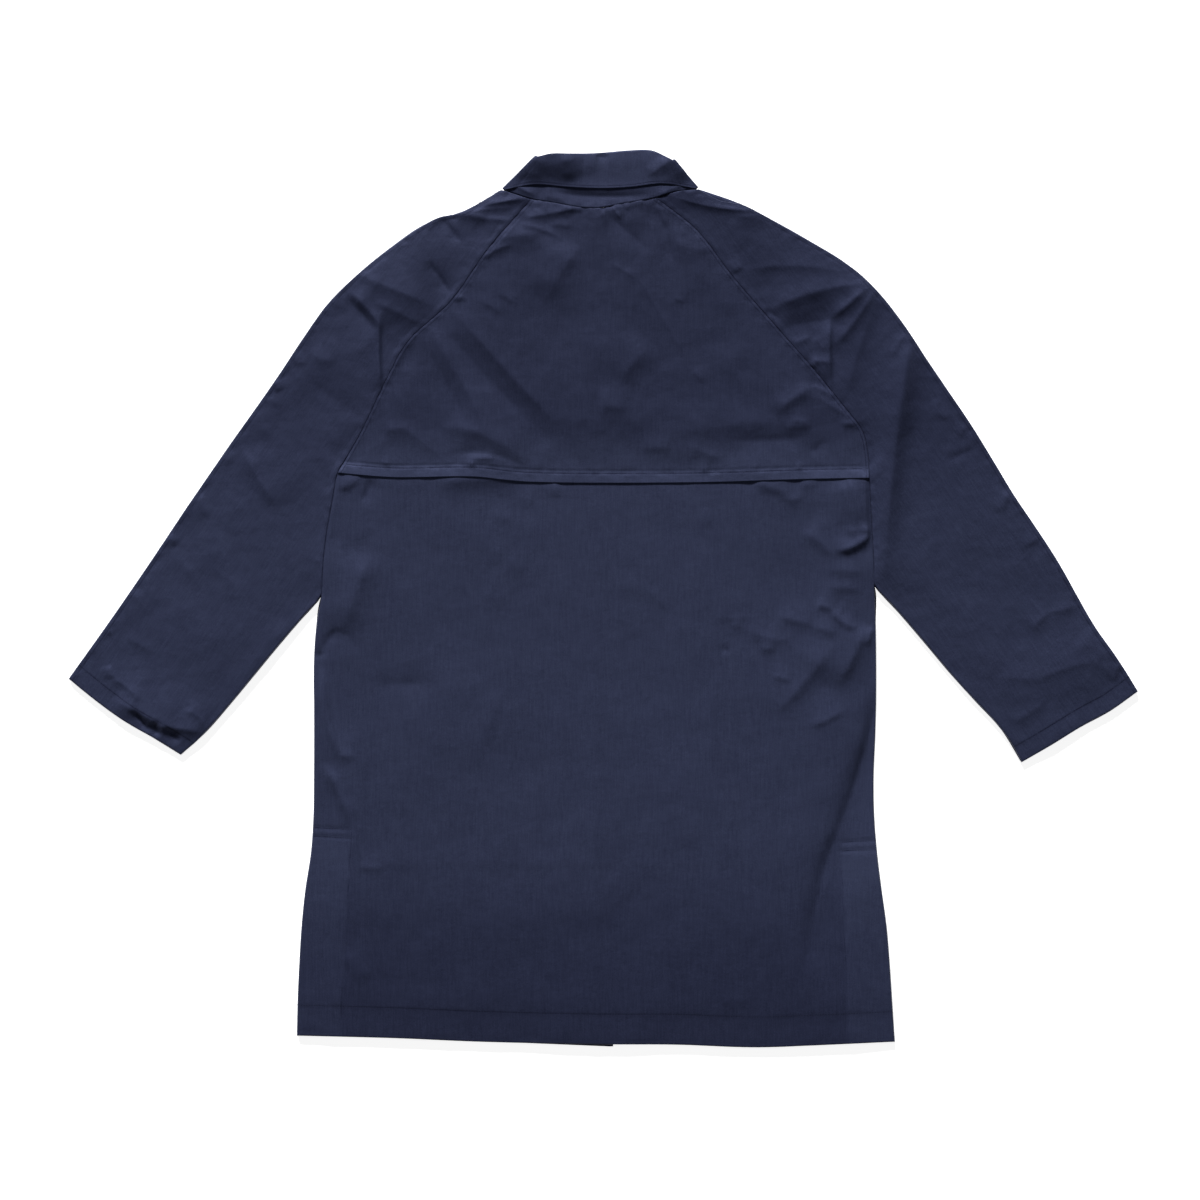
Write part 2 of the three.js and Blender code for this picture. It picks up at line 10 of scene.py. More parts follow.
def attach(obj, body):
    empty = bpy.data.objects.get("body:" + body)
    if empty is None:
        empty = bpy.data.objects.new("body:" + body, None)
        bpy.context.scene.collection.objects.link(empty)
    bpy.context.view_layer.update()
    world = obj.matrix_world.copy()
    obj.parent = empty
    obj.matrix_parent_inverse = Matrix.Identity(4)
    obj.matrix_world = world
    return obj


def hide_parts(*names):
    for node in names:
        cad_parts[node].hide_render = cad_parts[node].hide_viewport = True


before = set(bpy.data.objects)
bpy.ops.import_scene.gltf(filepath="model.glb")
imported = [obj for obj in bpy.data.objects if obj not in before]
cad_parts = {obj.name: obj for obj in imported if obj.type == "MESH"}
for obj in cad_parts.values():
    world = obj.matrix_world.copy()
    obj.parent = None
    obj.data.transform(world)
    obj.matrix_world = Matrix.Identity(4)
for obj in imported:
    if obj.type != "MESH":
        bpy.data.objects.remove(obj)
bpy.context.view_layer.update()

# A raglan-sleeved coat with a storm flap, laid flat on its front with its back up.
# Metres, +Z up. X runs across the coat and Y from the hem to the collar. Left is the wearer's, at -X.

MM = 0.001

# ---------------------------------------------------------------- sizes

CLOTH = 0.9 * MM                # the gabardine and what backs it
RIM_BULGE = 0.35                # a cut edge is rounded by this share of the cloth
INNER_STEP = 3                  # the hidden face of a wall has a point for every third one outside
SAME_SIDE = 0.5                 # faces are one side of a wall if their normals' cosine is above this
SAME_POINT = 0.01 * MM
FINE_STEP, LINE_STEP = 0.3 * MM, 3 * MM         # between points along borders, and along sewn lines
FAR = 0.1                       # further up or down than the coat reaches

# The underarm, in rows of the frame's own points.
ARMHOLE_ROW = 20
FRONT_ARMHOLE_ROW = 11

# How each piece is divided, down and across: knots, each a place among the frame's own rows or
# columns and the number of steps up to it. The steps are short beside the edges.
BACK_SLEEVE_GRID = (((0, 0), (0.05, 3), (0.3, 3), (29.6, 381), (29.95, 6), (30, 3)),
                    ((0, 0), (0.07, 3), (0.5, 6), (7.5, 90), (7.93, 6), (8, 3)))
FRONT_SLEEVE_GRID = (((0, 0), (0.2, 3), (16.8, 126), (17, 3)), ((0, 0), (0.15, 3), (3.85, 48), (4, 3)))
FRONT_ROWS = ((0, 0), (0.3, 3), (22.7, 144), (23, 3))
COLLAR_COLUMNS = ((0, 0), (6, 36), (10, 30), (32, 132), (36, 30), (42, 36))
GRIDS = {
    "back": (((0, 0), (14, 24), (15, 12), (41.6, 249), (41.93, 6), (42, 3)),
             ((0, 0), (0.06, 3), (0.35, 6), (25.65, 240), (25.94, 6), (26, 3))),
    "back_flap": (((0, 0), (0.05, 3), (0.45, 9), (14.1, 144), (14.93, 18), (15, 3)),
                  ((0, 0), (0.05, 3), (0.35, 6), (25.65, 294), (25.95, 6), (26, 3))),
    "sleeve_back_left": BACK_SLEEVE_GRID,
    "sleeve_back_right": BACK_SLEEVE_GRID,
    "sleeve_front_left": FRONT_SLEEVE_GRID,
    "sleeve_front_right": FRONT_SLEEVE_GRID,
    "front_left": (FRONT_ROWS, ((0, 0), (0.2, 3), (6.8, 90), (7, 3))),
    "front_right": (FRONT_ROWS, ((0, 0), (0.2, 3), (8.8, 90), (9, 3))),
    "collar_stand": (((0, 0), (3, 36)), COLLAR_COLUMNS),
    "collar_leaf": (((0, 0), (3.4, 15), (4.6, 15), (7.6, 36), (8, 6)), COLLAR_COLUMNS),
}
COLLAR_PASSES = 5               # how often the collar's points are relaxed

# How the flap lies.
FLAP_SINK = 0.8 * MM            # this much closer than its solid
UNDER_FLAP_SINK = 2.4 * MM      # the back under it makes room, above these of its rows
UNDER_FLAP_ROWS = (14.2, 14.95)
SEAM_LEVEL, SEAM_CLIMB = 6.9 * MM, 0.6 * MM     # the height of its raglan seams, and their rise to the neck
SEAM_CLIMB_Y = (330 * MM, 400 * MM)
SEAM_NEAR, SEAM_OFF_HEM = 30 * MM, 25 * MM      # it comes to that height this near them, but not at its hem
FLAP_HEM_GAP = 0.1 * MM         # its lower edge rests on the back, almost
FLAP_HEM_SPREAD = (8 * MM, 80 * MM)
FLAP_HEM_RISE = 0.9 * MM        # and the flap climbs to it over its turned-up edge
FLAP_HEM_REACH = 13 * MM
NECK_FREE, HEM_FREE = (-22 * MM, 8 * MM), (-4 * MM, 14 * MM)    # its creases run out towards its edges
STEP_OUT = 1.5 * MM             # a border is laid on what is found this far outside it
SLEEVE_STEP_OUT = 1.2 * MM
SLEEVE_MEETS = 28 * MM          # a sleeve bends this wide to meet the body

FLAP_FLOOR = 5.45 * MM          # the flap's troughs stop here, and those of a sleeve below
SLEEVE_FLOOR = 3.9 * MM
BACK_TROUGH = 4.5 * MM          # the deepest trough in the back
FLOOR_SOFTNESS = 0.35 * MM
SEAM_DIP, SEAM_REACH = 0.12 * MM, 0.5 * MM      # sewn edges dip into the seam
WELT = 0.18 * MM                # the turnings lift the cloth beside a seam
WELT_PLACE, WELT_REACH = 3.2 * MM, 2.6 * MM
TURN_DIP = 0.19 * MM            # a row of stitches draws a turned-up edge in
TURN_SWELL = 0.3                # and it is full again within this share of its depth
ROW_BLEND, FACING_BLEND = 1 * MM, 2 * MM        # half the width over which these changes come in
BORDER_FALL = 0.35 * MM         # the upper layer stays almost level out to the outline
EDGE_LEVEL = 2.1 * MM           # and there it closes down on the lower one
EDGE_REACH = 0.5 * MM
FACING_RISE = 0.35 * MM         # the facings of the vents lift the back
TACK_DIP, TACK_REACH = 0.5 * MM, 2.2 * MM       # and their tacked rows draw it down
NECK_RISE = 1.9 * MM            # the neck seam stands up over its turnings
NECK_MIDDLE, NECK_SPREAD = 12 * MM, 78 * MM
NECK_ABOVE, NECK_BELOW = 70 * MM, 55 * MM
NECK_TUCK, TUCK_REACH = 0.9 * MM, 0.8 * MM      # the flap's upper edge goes this far under the stand
TUCK_DROP = 0.18 * MM
LEAF_GAP = 0.15 * MM            # the leaf's lower edge rests on the stand, almost
LEAF_SPREAD = (4 * MM, 34 * MM)
LEAF_ROLL = {"left": 5.5 * MM, "right": 3.5 * MM}       # its fold stands higher towards the ends
LEAF_LEFT, LEAF_RIGHT = (-48 * MM, -20 * MM), (55 * MM, 85 * MM)
LEAF_ROLL_REACH = 38 * MM

HEM = 35.5 * MM                 # depth of the turned-up hem
CUFF = 20 * MM
FLAP_HEM = 10.5 * MM
FLAP_ROW_DIP, FLAP_ROW_REACH = 0.2 * MM, 1 * MM         # its stitches draw the flap down
RAW_EDGE = 1.3 * FLAP_HEM       # and so does the end of its turning
RAW_EDGE_DIP, RAW_EDGE_REACH = 0.3 * MM, 1.6 * MM
SEAM_STITCH = 3.2 * MM          # topstitching beside the raglan seams
FLY = 62 * MM                   # the concealed front closure is stitched this far in
COLLAR_STITCH = 2.4 * MM
OVERARM_SEAM = 5 * MM

STITCH_PITCH = 3.0 * MM
STITCH_LENGTH = 2.3 * MM
THREAD = 0.34 * MM
STITCH_SINK = 0.1 * MM          # the middle of a stitch is this far under the face of the cloth

# Where the facings of the side vents end, and the rows that tack them, as lines in millimetres.
FACINGS = {"left": ((-289, -268), (-303, -508)), "right": ((273, -282), (282, -516))}
FACING_TOP_Y = (-300 * MM, -262 * MM)
TACKS = (((-336, -263), (-290, -265)), ((-335, -273), (-290, -275)),
         ((275, -280), (314, -278)), ((275, -290), (315, -288.5)))

# How uneven the cloth is: the seed of a piece's noise, then wavelengths and heights in millimetres.
SLEEVE_UNEVEN = ((70, 1.1), (32, 0.5), (13, 0.22))
UNEVEN = {
    "back": (1, (110, 1.2), (46, 0.5), (17, 0.2)),
    "flap": (2, (90, 1.5), (38, 0.7), (15, 0.25)),
    "sleeve_left": (5, *SLEEVE_UNEVEN),
    "sleeve_right": (6, *SLEEVE_UNEVEN),
    "stand": (31, (20, 0.4)),
    "leaf": (32, (36, 0.8)),
}
SEED_APART, LAYER_APART = 7.3, 3.1      # between the slices of noise that seeds and layers take

# How far in from a seam or an outline the cloth is held, and the share of its creases that it has there.
HOLD = {
    "back seam": (7 * MM, 0), "back outline": (9 * MM, 0.6), "flap seam": (7 * MM, 0.45),
    "sleeve seam": (9 * MM, 0.5), "sleeve outline": (9 * MM, 0.6),
    "front": (20 * MM, 0), "front sleeve": (15 * MM, 0),
}

# Small gathers beside sewn lines, in millimetres.
PUCKER_COLUMNS = ("reach", "wavelength", "height", "seed")
PUCKERS = {
    "flap raglan": (9, 8, 0.6, 3),
    "flap neck": (12, 7, 0.7, 8),
    "flap hem": (5, 9, 0.4, 4),
    "stand neck": (7, 7, 0.5, 9),
    "left overarm": (4, 9, 0.6, 15),
    "right overarm": (4, 9, 0.6, 16),
    "left raglan": (8, 8, 0.45, 25),
    "right raglan": (8, 8, 0.45, 26),
}

# Painted light and shade: how much lighter, or below zero darker, the cloth's colour is made in places,
# on the scale of its tone from 0 to 1. It stands in for light that falls off towards the skirt, for slopes
# turned to the light and from it, and for shade on the collar, the flap and the tops of the sleeves. Over
# the vent facings the colour is lighter.
PAINTED_LIGHT_SHADE = {
    "back": 0.11, "skirt": -0.25, "left facing": 0.1, "right facing": 0.15,
    "flap": -0.09, "flap hem": 0.06, "above flap hem": 0.24,
    "sleeve": 0.07, "upper sleeve": -0.16, "sleeve top": -0.18,
    "stand": -0.1, "leaf": -0.02, "leaf back": 0.07, "leaf left": -0.07, "leaf right": -0.12,
}
SKIRT_Y = (-450 * MM, -260 * MM)        # where these changes come in
UPPER_SLEEVE_Y, SLEEVE_TOP_Y = (60 * MM, 260 * MM), (436 * MM, 452 * MM)
ABOVE_FLAP_HEM = (22 * MM, 75 * MM)

# ---------------------------------------------------------------- creases
# A row for each crease, in millimetres: its two ends, how far its middle bows to the left of its
# direction, how wide the cloth slopes on its left and on its right, the softness of its top, and its
# height, below zero for a trough.

CREASE_GAIN = 1.35              # every height is multiplied by this
GENTLER = 2.4                   # slopes that face the way of the last smoothing are this much wider
SMOOTHED_TO = (-0.3, 1)         # which went to the collar, and a little to the left
CREASE_COMES, CREASE_GOES = (-0.1, 0.3), (0.65, 1.12)   # as shares of its length
CREASE_TAIL = 0.12              # how soon its slopes end
CREASE_COLUMNS = ("x1", "y1", "x2", "y2", "bow", "left", "right", "soft", "height")
CREASES = {
    "flap": (
        # below the collar
        (-14, 444, 48, 430, 0, 10, 30, 6, 1.7), (-98, 437, -18, 452, -2, 8, 4.5, 1, 1.6),
        (-96, 430, -47, 413, 2, 7, 3, 0.8, 0.9), (-62, 430, -34, 427, 0, 4, 3, 0.8, 0.6),
        (-128, 414, -66, 420, 0, 9, 11, 3, 1.9), (-149, 384, -104, 407, 3, 5, 4, 1, 1.4),
        (-30, 402, -66, 343, -2, 14, 26, 3, 1.9), (0, 444, 52, 400, 0, 10, 12, 2, -1.6),
        (60, 455, 84, 376, 0, 8, 5, 1.5, -1.1), (10, 450, 20, 436, 0, 3, 3, 0.8, 0.9),
        (62, 453, 72, 428, 0, 3, 3, 0.8, 0.8), (78, 408, 130, 398, 0, 13, 11, 3, 1.5),
        (38, 372, 98, 272, 0, 3, 5, 0.8, 0.45), (8, 386, 38, 368, 0, 3, 4, 0.8, 0.45),
        (80, 346, 95, 340, 0, 3, 3, 0.8, 0.4), (-122, 352, -98, 338, 0, 3, 3, 0.8, 0.5),
        (-142, 343, -114, 326, 0, 4, 3, 0.8, 0.5), (-180, 341, -157, 345, 2, 2.5, 3, 0.7, 0.8),
        # from the left raglan seam down to the middle
        (-194, 321, -64, 184, -2, 13, 14, 1.5, -1.2), (-214, 300, -158, 196, 5, 12, 12, 1.5, -1.2),
        (-172, 332, -44, 192, -2, 22, 13, 2, 2.9), (-200, 310, -132, 190, 3, 16, 15, 2.5, 2.5),
        (-178, 164, -88, 149, 10, 9, 3, 0.8, -0.9), (-186, 200, -92, 162, 7, 12, 14, 3, 2.2),
        (-152, 161, -124, 161, 0, 3, 4, 1, 0.9), (-236, 203, -178, 155, 0, 5, 5, 1, 0.45),
        (-252, 194, -222, 196, 0, 4, 6, 1.5, 0.8), (-228, 292, -226, 262, 0, 4, 4, 1.5, -0.7),
        # the middle and the right
        (17, 250, 52, 292, 0, 12, 11, 3, 1.5), (-6, 223, 30, 219, 0, 11, 9, 3, 1.4),
        (104, 263, 114, 248, 0, 3, 4, 1, 0.5), (134, 287, 172, 226, 0, 9, 11, 3, 0.8),
        (70, 190, 238, 203, 4, 22, 13, 5, 1.3), (148, 180, 232, 184, 0, 9, 6, 1.5, -1.2),
        (206, 197, 238, 198, 0, 5, 6, 1, 0.9), (198, 214, 241, 244, 1, 8, 9, 1.5, 2.2),
        (240, 244, 276, 228, 0, 4, 5, 1, 0.7), (245, 233, 297, 203, -2, 5, 8, 1.2, 1.2),
        (272, 200, 297, 201, 0, 3, 4, 1, 1.2), (216, 206, 238, 200, 0, 4, 5, 1, 0.7),
        (238, 167, 258, 182, 0, 4, 4, 1, -0.7), (40, 179, 140, 160, -2, 12, 9, 3, 0.4),
        (96, 176, 138, 160, 0, 6, 6, 2, 0.8), (44, 173, 78, 174, 0, 6, 5, 2, 0.6),
        (-60, 206, 0, 203, 0, 6, 6, 2, 0.2), (-60, 192, 10, 194, 0, 6, 7, 2, 0.2),
        # small puckers above the lower edge
        (-156, 154, -146, 155, 0, 3, 3, 0.8, 0.7), (-254, 156, -244, 155, 0, 3, 3, 0.8, 0.6),
        (112, 148, 122, 148, 0, 3, 3, 0.8, 0.6), (220, 150, 230, 150, 0, 3, 3, 0.8, 0.6),
    ),
    "sleeve_left": (
        # from the shoulder down to the raglan seam
        (-291, 352, -253, 309, 2, 8, 6, 1, 2.3), (-297, 347, -262, 309, 1, 8, 8, 1, -1.6),
        (-257, 326, -254, 230, -2, 2.5, 7, 0.7, 2.0),
        (-284, 373, -196, 337, 0, 20, 23, 1.5, 3.3),
        (-262, 341, -206, 314, 0, 16, 8, 1, 1.4),
        (-201, 386, -175, 351, 0, 4, 4, 1, -1.3), (-188, 438, -162, 408, 0, 5, 6, 1.5, -1.3),
        # by the neck
        (-128, 467, -90, 468, 0, 4, 3, 0.8, 0.6), (-136, 452, -84, 461, 0, 6, 4, 0.7, 1.7),
        (-172, 443, -100, 450, 0, 4, 7, 1, 1.0), (-168, 442, -135, 438, 0, 3, 7, 1, 1.3),
        (-150, 437, -106, 434, 0, 3, 5, 1, 0.9),
        # down the arm
        (-314, 341, -292, 332, 0, 4, 5, 1, 0.5), (-356, 272, -340, 271, 0, 3, 4, 1, 0.6),
        (-335, 280, -310, 269, 0, 4, 5, 1.2, 0.6), (-377, 250, -373, 238, 0, 3, 4, 0.8, 1.0),
        (-382, 230, -372, 222, 0, 3, 3, 1, 0.3), (-396, 216, -386, 182, 0, 7, 8, 3, 0.8),
        (-428, 172, -430, 154, 0, 4, 4, 1.2, 0.6), (-345, 252, -270, 203, 0, 16, 12, 3, -1.1),
        (-414, 172, -374, 106, -2, 12, 8, 1.5, 1.6), (-464, 122, -456, 92, 0, 5, 6, 2, 0.8),
        (-443, 76, -424, 0, 0, 4, 5, 1.5, 0.7), (-542, 7, -520, -16, 0, 7, 8, 2.5, 0.5),
        (-548, -44, -518, -60, 0, 4, 5, 1.2, 0.5), (-574, -30, -566, -43, 0, 3, 4, 1, 0.7),
        (-500, 72, -491, 62, 0, 3, 4, 1, 0.8), (-497, 52, -466, 24, 0, 8, 10, 3, 0.7),
        # gathered at the cuff
        (-569, -77, -565, -92, 0, 4, 3, 0.8, 0.9), (-566, -90, -532, -118, 3, 5, 4.5, 1, 0.9),
        (-560, -117, -500, -149, 0, 14, 8, 1, 2.8), (-514, -146, -458, -153, 0, 10, 9, 1, 2.8),
        (-540, -128, -522, -152, 0, 3, 3, 0.8, -2.0), (-517, -142, -510, -158, 0, 3, 3, 0.8, -1.8),
        (-504, -148, -487, -164, 0, 3, 3, 0.9, -1.4), (-483, -129, -457, -149, 6, 5, 4, 1.2, 0.7),
    ),
    "sleeve_right": (
        # gathered towards one place on the shoulder
        (190, 331, 309, 362, 7, 11, 20, 1.6, 3.7), (206, 310, 262, 320, 2, 9, 6, 1.5, -1.0),
        (186, 331, 203, 321, 0, 3, 3, 0.8, -0.6), (262, 323, 303, 358, -1, 5, 8, 1, 2.8),
        (264, 289, 313, 355, -2, 6, 9, 1, 2.4), (278, 233, 313, 340, 2, 9, 9, 2, 1.6),
        (261, 324, 262, 245, -2, 2.5, 4, 0.7, 1.9), (238, 273, 262, 271, 0, 3, 8, 0.8, 1.3),
        (237, 274, 257, 251, 0, 2.5, 2.5, 0.6, 0.7), (217, 292, 240, 301, 0, 3, 6, 1, 0.9),
        (242, 300, 256, 284, 0, 3, 6, 1.2, 0.8),
        # by the neck
        (78, 463, 178, 446, -5, 10, 4, 1, 1.4), (150, 439, 189, 445, -3, 4, 6, 1, 0.9),
        (83, 471, 115, 467, -2, 5, 3.5, 0.9, 1.0), (144, 388, 152, 375, 0, 3, 3, 0.8, 0.35),
        (165, 378, 275, 375, 6, 12, 6, 2, 1.0), (149, 375, 160, 382, 0, 3, 3, 0.8, 0.7),
        # down the arm
        (356, 318, 322, 20, -5, 14, 12, 3, 4.3), (354, 300, 342, 190, -2, 14, 10, 3, 1.6),
        (384, 230, 391, 206, -3, 4, 4, 1.2, 0.6), (388, 207, 402, 213, 0, 3, 4, 1, 0.4),
        (408, 187, 416, 198, 0, 4, 4, 1, 0.5), (394, 159, 432, 174, 0, 4, 4, 1.2, -0.6),
        (466, 123, 454, 98, 0, 5, 6, 2, 0.9), (502, 70, 478, 58, 0, 4, 5, 1.5, 0.7),
        (345, 302, 330, 278, 0, 3, 4, 1, 0.6), (492, -37, 513, -15, 2, 5, 6, 1.2, 1.1),
        (508, -14, 546, -6, -3, 4, 5, 1.5, 0.8), (545, -46, 578, -68, 0, 8, 9, 3, 0.8),
        (591, -76, 586, -95, 0, 3, 3, 0.8, 0.5),
        # gathered at the cuff
        (456, -89, 502, -93, 0, 6, 6, 2, 0.8), (494, -94, 568, -70, 2, 6, 6, 2, 0.9),
        (462, -112, 506, -104, 0, 12, 10, 3, 0.35), (472, -143, 508, -118, 0, 5, 5, 1.5, 0.7),
        (560, -72, 586, -84, 0, 6, 6, 2, 0.4),
    ),
    "back": (
        # left side, from the flap down
        (-192, 132, -94, 139, 2, 10, 9, 2, 2.0), (-306, 127, -280, 141, -4, 3, 3, 0.8, 1.3),
        (-303, 134, -288, 140, -2, 3, 3, 0.8, 0.5), (-266, 137, -276, 110, 0, 4, 4, 1.2, -1.3),
        (-296, 60, -256, 93, 0, 5, 7, 2, 0.3), (-268, 50, -299, -40, -2, 20, 14, 2, 3.4),
        (-336, -61, -318, -62, -3, 3, 3, 0.8, -1.0), (-324, -64, -306, -37, 3, 3.5, 3.5, 0.8, -1.0),
        (-316, -41, -290, -47, 6, 4, 3, 0.9, -0.6), (-322, -84, -300, -186, -6, 5, 5, 1.2, 2.4),
        (-303, -180, -285, -181, 0, 3, 4, 1, 0.7), (-318, -194, -293, -254, 2, 5, 5, 1.2, 2.2),
        (-290, -232, -282, -310, 0, 5, 7, 1.5, 1.3), (-264, -99, -188, -97, 0, 10, 8, 1.2, -0.8),
        (-128, 95, -102, 91, 0, 5, 6, 1.5, 0.5), (-98, 115, -78, 112, 0, 5, 7, 2, 0.5),
        (-56, 135, -52, 117, 0, 4, 4, 1.2, 0.8), (-138, 12, -112, -8, 0, 9, 9, 3, 0.5),
        (-110, 45, -92, 30, 0, 9, 9, 3, 0.4), (-118, -100, -148, -195, 0, 9, 12, 3, 0.9),
        (-298, -412, -280, -425, 0, 6, 8, 2, 0.5), (-294, -430, -266, -430, 0, 9, 9, 3, 0.8),
        (-282, -308, -250, -310, 0, 3, 4, 1.2, 0.6),
        # right side, from the flap down
        (172, 135, 212, 122, -1, 10, 6, 2, 1.4), (203, 121, 231, 116, -5, 5, 5, 1, 0.8),
        (226, 131, 246, 131, 0, 4, 5, 1, 0.6), (280, 140, 298, 82, 2, 6, 8, 1, 2.2),
        (272, 137, 286, 86, 1, 5, 6, 1.5, 1.5), (294, 79, 311, 78, 0, 3, 3, 0.8, 1.4),
        (267, 54, 311, 79, -5, 5, 5, 0.9, 2.9), (279, 78, 294, 78, 0, 4, 5, 1.5, 1.0),
        (228, 76, 268, 44, 4, 6, 7, 2, 1.4), (258, 33, 298, 31, 0, 6, 5, 1.5, 0.8),
        (260, 12, 298, 11, 0, 5, 4, 1.2, 0.7), (244, -8, 266, -15, 2, 5, 4, 0.9, 1.3),
        (262, -14, 282, -33, -1, 5, 4, 0.9, 1.4), (277, -32, 292, -32, 0, 4, 4, 1, 1.0),
        (199, -18, 245, -31, -1, 6, 7, 1.2, 1.2), (240, -32, 267, -39, 0, 5, 6, 1.2, 0.9),
        (126, -22, 170, -22, 0, 6, 4, 1, 0.5), (148, -30, 161, -31, 0, 3, 4, 1, 0.6),
        (160, -34, 214, -47, -4, 7, 8, 1.8, 1.1), (180, -57, 198, -57, 0, 4, 5, 1.5, 1.0),
        (137, -54, 143, -62, 0, 2, 2, 0.7, -0.7), (299, -33, 268, -100, 3, 9, 14, 1.5, 2.7),
        (309, -33, 303, -54, 0, 3, 3, 1, 1.3), (261, -55, 199, -131, 2, 10, 14, 2.5, 2.3),
        (194, -89, 217, -94, 0, 4, 3, 0.9, 0.7), (238, -147, 276, -128, -2, 4, 2.5, 0.8, 0.8),
        (118, 103, 122, 82, 0, 2.5, 2.5, 0.7, 0.5), (14, 14, 54, 10, 0, 10, 8, 2, 0.5),
        (52, 12, 74, -14, 0, 4, 4, 1, 0.5),
        # the long fold down the right of the skirt
        (316, -108, 290, -216, 2, 12, 9, 1, -3.0), (300, -176, 250, -326, 1, 14, 10, 1.2, -3.6),
        (264, -276, 232, -424, -2, 14, 10, 1.5, -2.9), (246, -408, 231, -462, 0, 12, 12, 3, 0.5),
        (304, -120, 226, -425, 4, 11, 20, 2, 2.0),
        (130, -461, 168, -461, 0, 5, 6, 2, 0.4), (5, -320, 30, -345, 0, 14, 14, 4, 0.4),
        # lines that a press left, and an old fold across the skirt
        (-9, 30, -9, -530, 0, 7, 8, 1, 0.5), (-99, -60, -96, -440, 0, 4, 4, 1, -0.3),
        (-66, -40, -68, -460, 0, 4, 4, 1, -0.3), (127, -90, 123, -190, 0, 5, 4, 1, 0.5),
        (158, -160, 160, -420, 0, 4, 4, 1, -0.3), (205, -190, 207, -430, 0, 4, 4, 1, -0.3),
        (-292, -303, 112, -303, 0, 8, 12, 2, 0.3),
    ),
    "stand": (
        (-56, 467, 56, 465, -4, 5, 5, 1.2, -1.7), (-104, 476, -78, 462, 0, 3, 4, 0.8, 1.3),
        (58, 461, 98, 478, 0, 4, 5, 1, 1.0), (-70, 463, -40, 455, 0, 4, 4, 1, 0.6),
    ),
    "leaf": (
        (-94, 489, -28, 487, 0, 10, 14, 3, 0.5), (-46, 508, -36, 480, 0, 8, 8, 3, 1.2),
        (-70, 508, -84, 478, 0, 20, 14, 4, 1.1), (72, 510, 90, 478, 0, 16, 20, 4, 1.5),
        (52, 485, 77, 503, 0, 5, 6, 1.2, 1.1), (-8, 508, 7, 506, 0, 5, 5, 1.5, -1.0),
    ),
    # the hidden side, with creases like those that the back has
    "front_left": (
        (-270, 60, -200, 10, 8, 14, 18, 2, -1.6), (-300, -60, -268, -150, -5, 10, 14, 2, -1.4),
        (-120, 300, -80, 180, 6, 14, 18, 3, -1.5), (-60, 120, -40, -60, 4, 16, 20, 3, -1.2),
        (-250, -300, -230, -420, -6, 12, 14, 2, -1.4), (-160, 40, -100, 60, 0, 10, 12, 2, -1.0),
        (-230, -180, -150, -200, 3, 6, 9, 1, -0.8), (-200, 210, -150, 160, 4, 7, 9, 1, -1.0),
    ),
    "front_right": (
        (262, 60, 190, 4, -7, 14, 18, 2, -1.6), (296, -70, 262, -170, 5, 10, 14, 2, -1.4),
        (120, 290, 86, 170, -6, 14, 16, 3, -1.5), (80, 40, 150, 20, 0, 10, 12, 2, -1.0),
        (240, -250, 210, -400, 5, 12, 14, 2, -1.5), (150, -120, 230, -150, -4, 6, 9, 1, -0.9),
        (190, 200, 140, 150, -4, 7, 9, 1, -1.0),
    ),
    "sleeve_front_left": (
        (-330, 250, -280, 190, 5, 9, 12, 2, -1.3), (-430, 100, -390, 40, -4, 8, 10, 2, -1.1),
        (-520, -40, -470, -80, 4, 6, 8, 1, -1.0), (-380, 170, -350, 150, 0, 5, 6, 1, -0.8),
    ),
    "sleeve_front_right": (
        (330, 240, 290, 170, -5, 9, 12, 2, -1.3), (440, 90, 400, 30, 4, 8, 10, 2, -1.1),
        (530, -50, 470, -90, -4, 6, 8, 1, -1.0), (390, 160, 350, 150, 0, 5, 6, 1, -0.8),
    ),
}

# ---------------------------------------------------------------- the frame's points, as grids

MEASURES = {
    "top": lambda face: face.normal.z * face.calc_area(),
    "bottom": lambda face: -face.normal.z * face.calc_area(),
    "outer": lambda face: face.calc_area(),
}


def wall_sides(mesh):
    """The faces of a wall's mesh, grouped where they meet without a sharp edge."""
    groups, seen = [], set()
    for start in mesh.faces:
        if start in seen:
            continue
        seen.add(start)
        group, waiting = [], [start]
        while waiting:
            here = waiting.pop()
            group.append(here)
            for other in (face for edge in here.edges for face in edge.link_faces):
                if other not in seen and other.normal.dot(here.normal) > SAME_SIDE:
                    seen.add(other)
                    waiting.append(other)
        groups.append(group)
    return groups


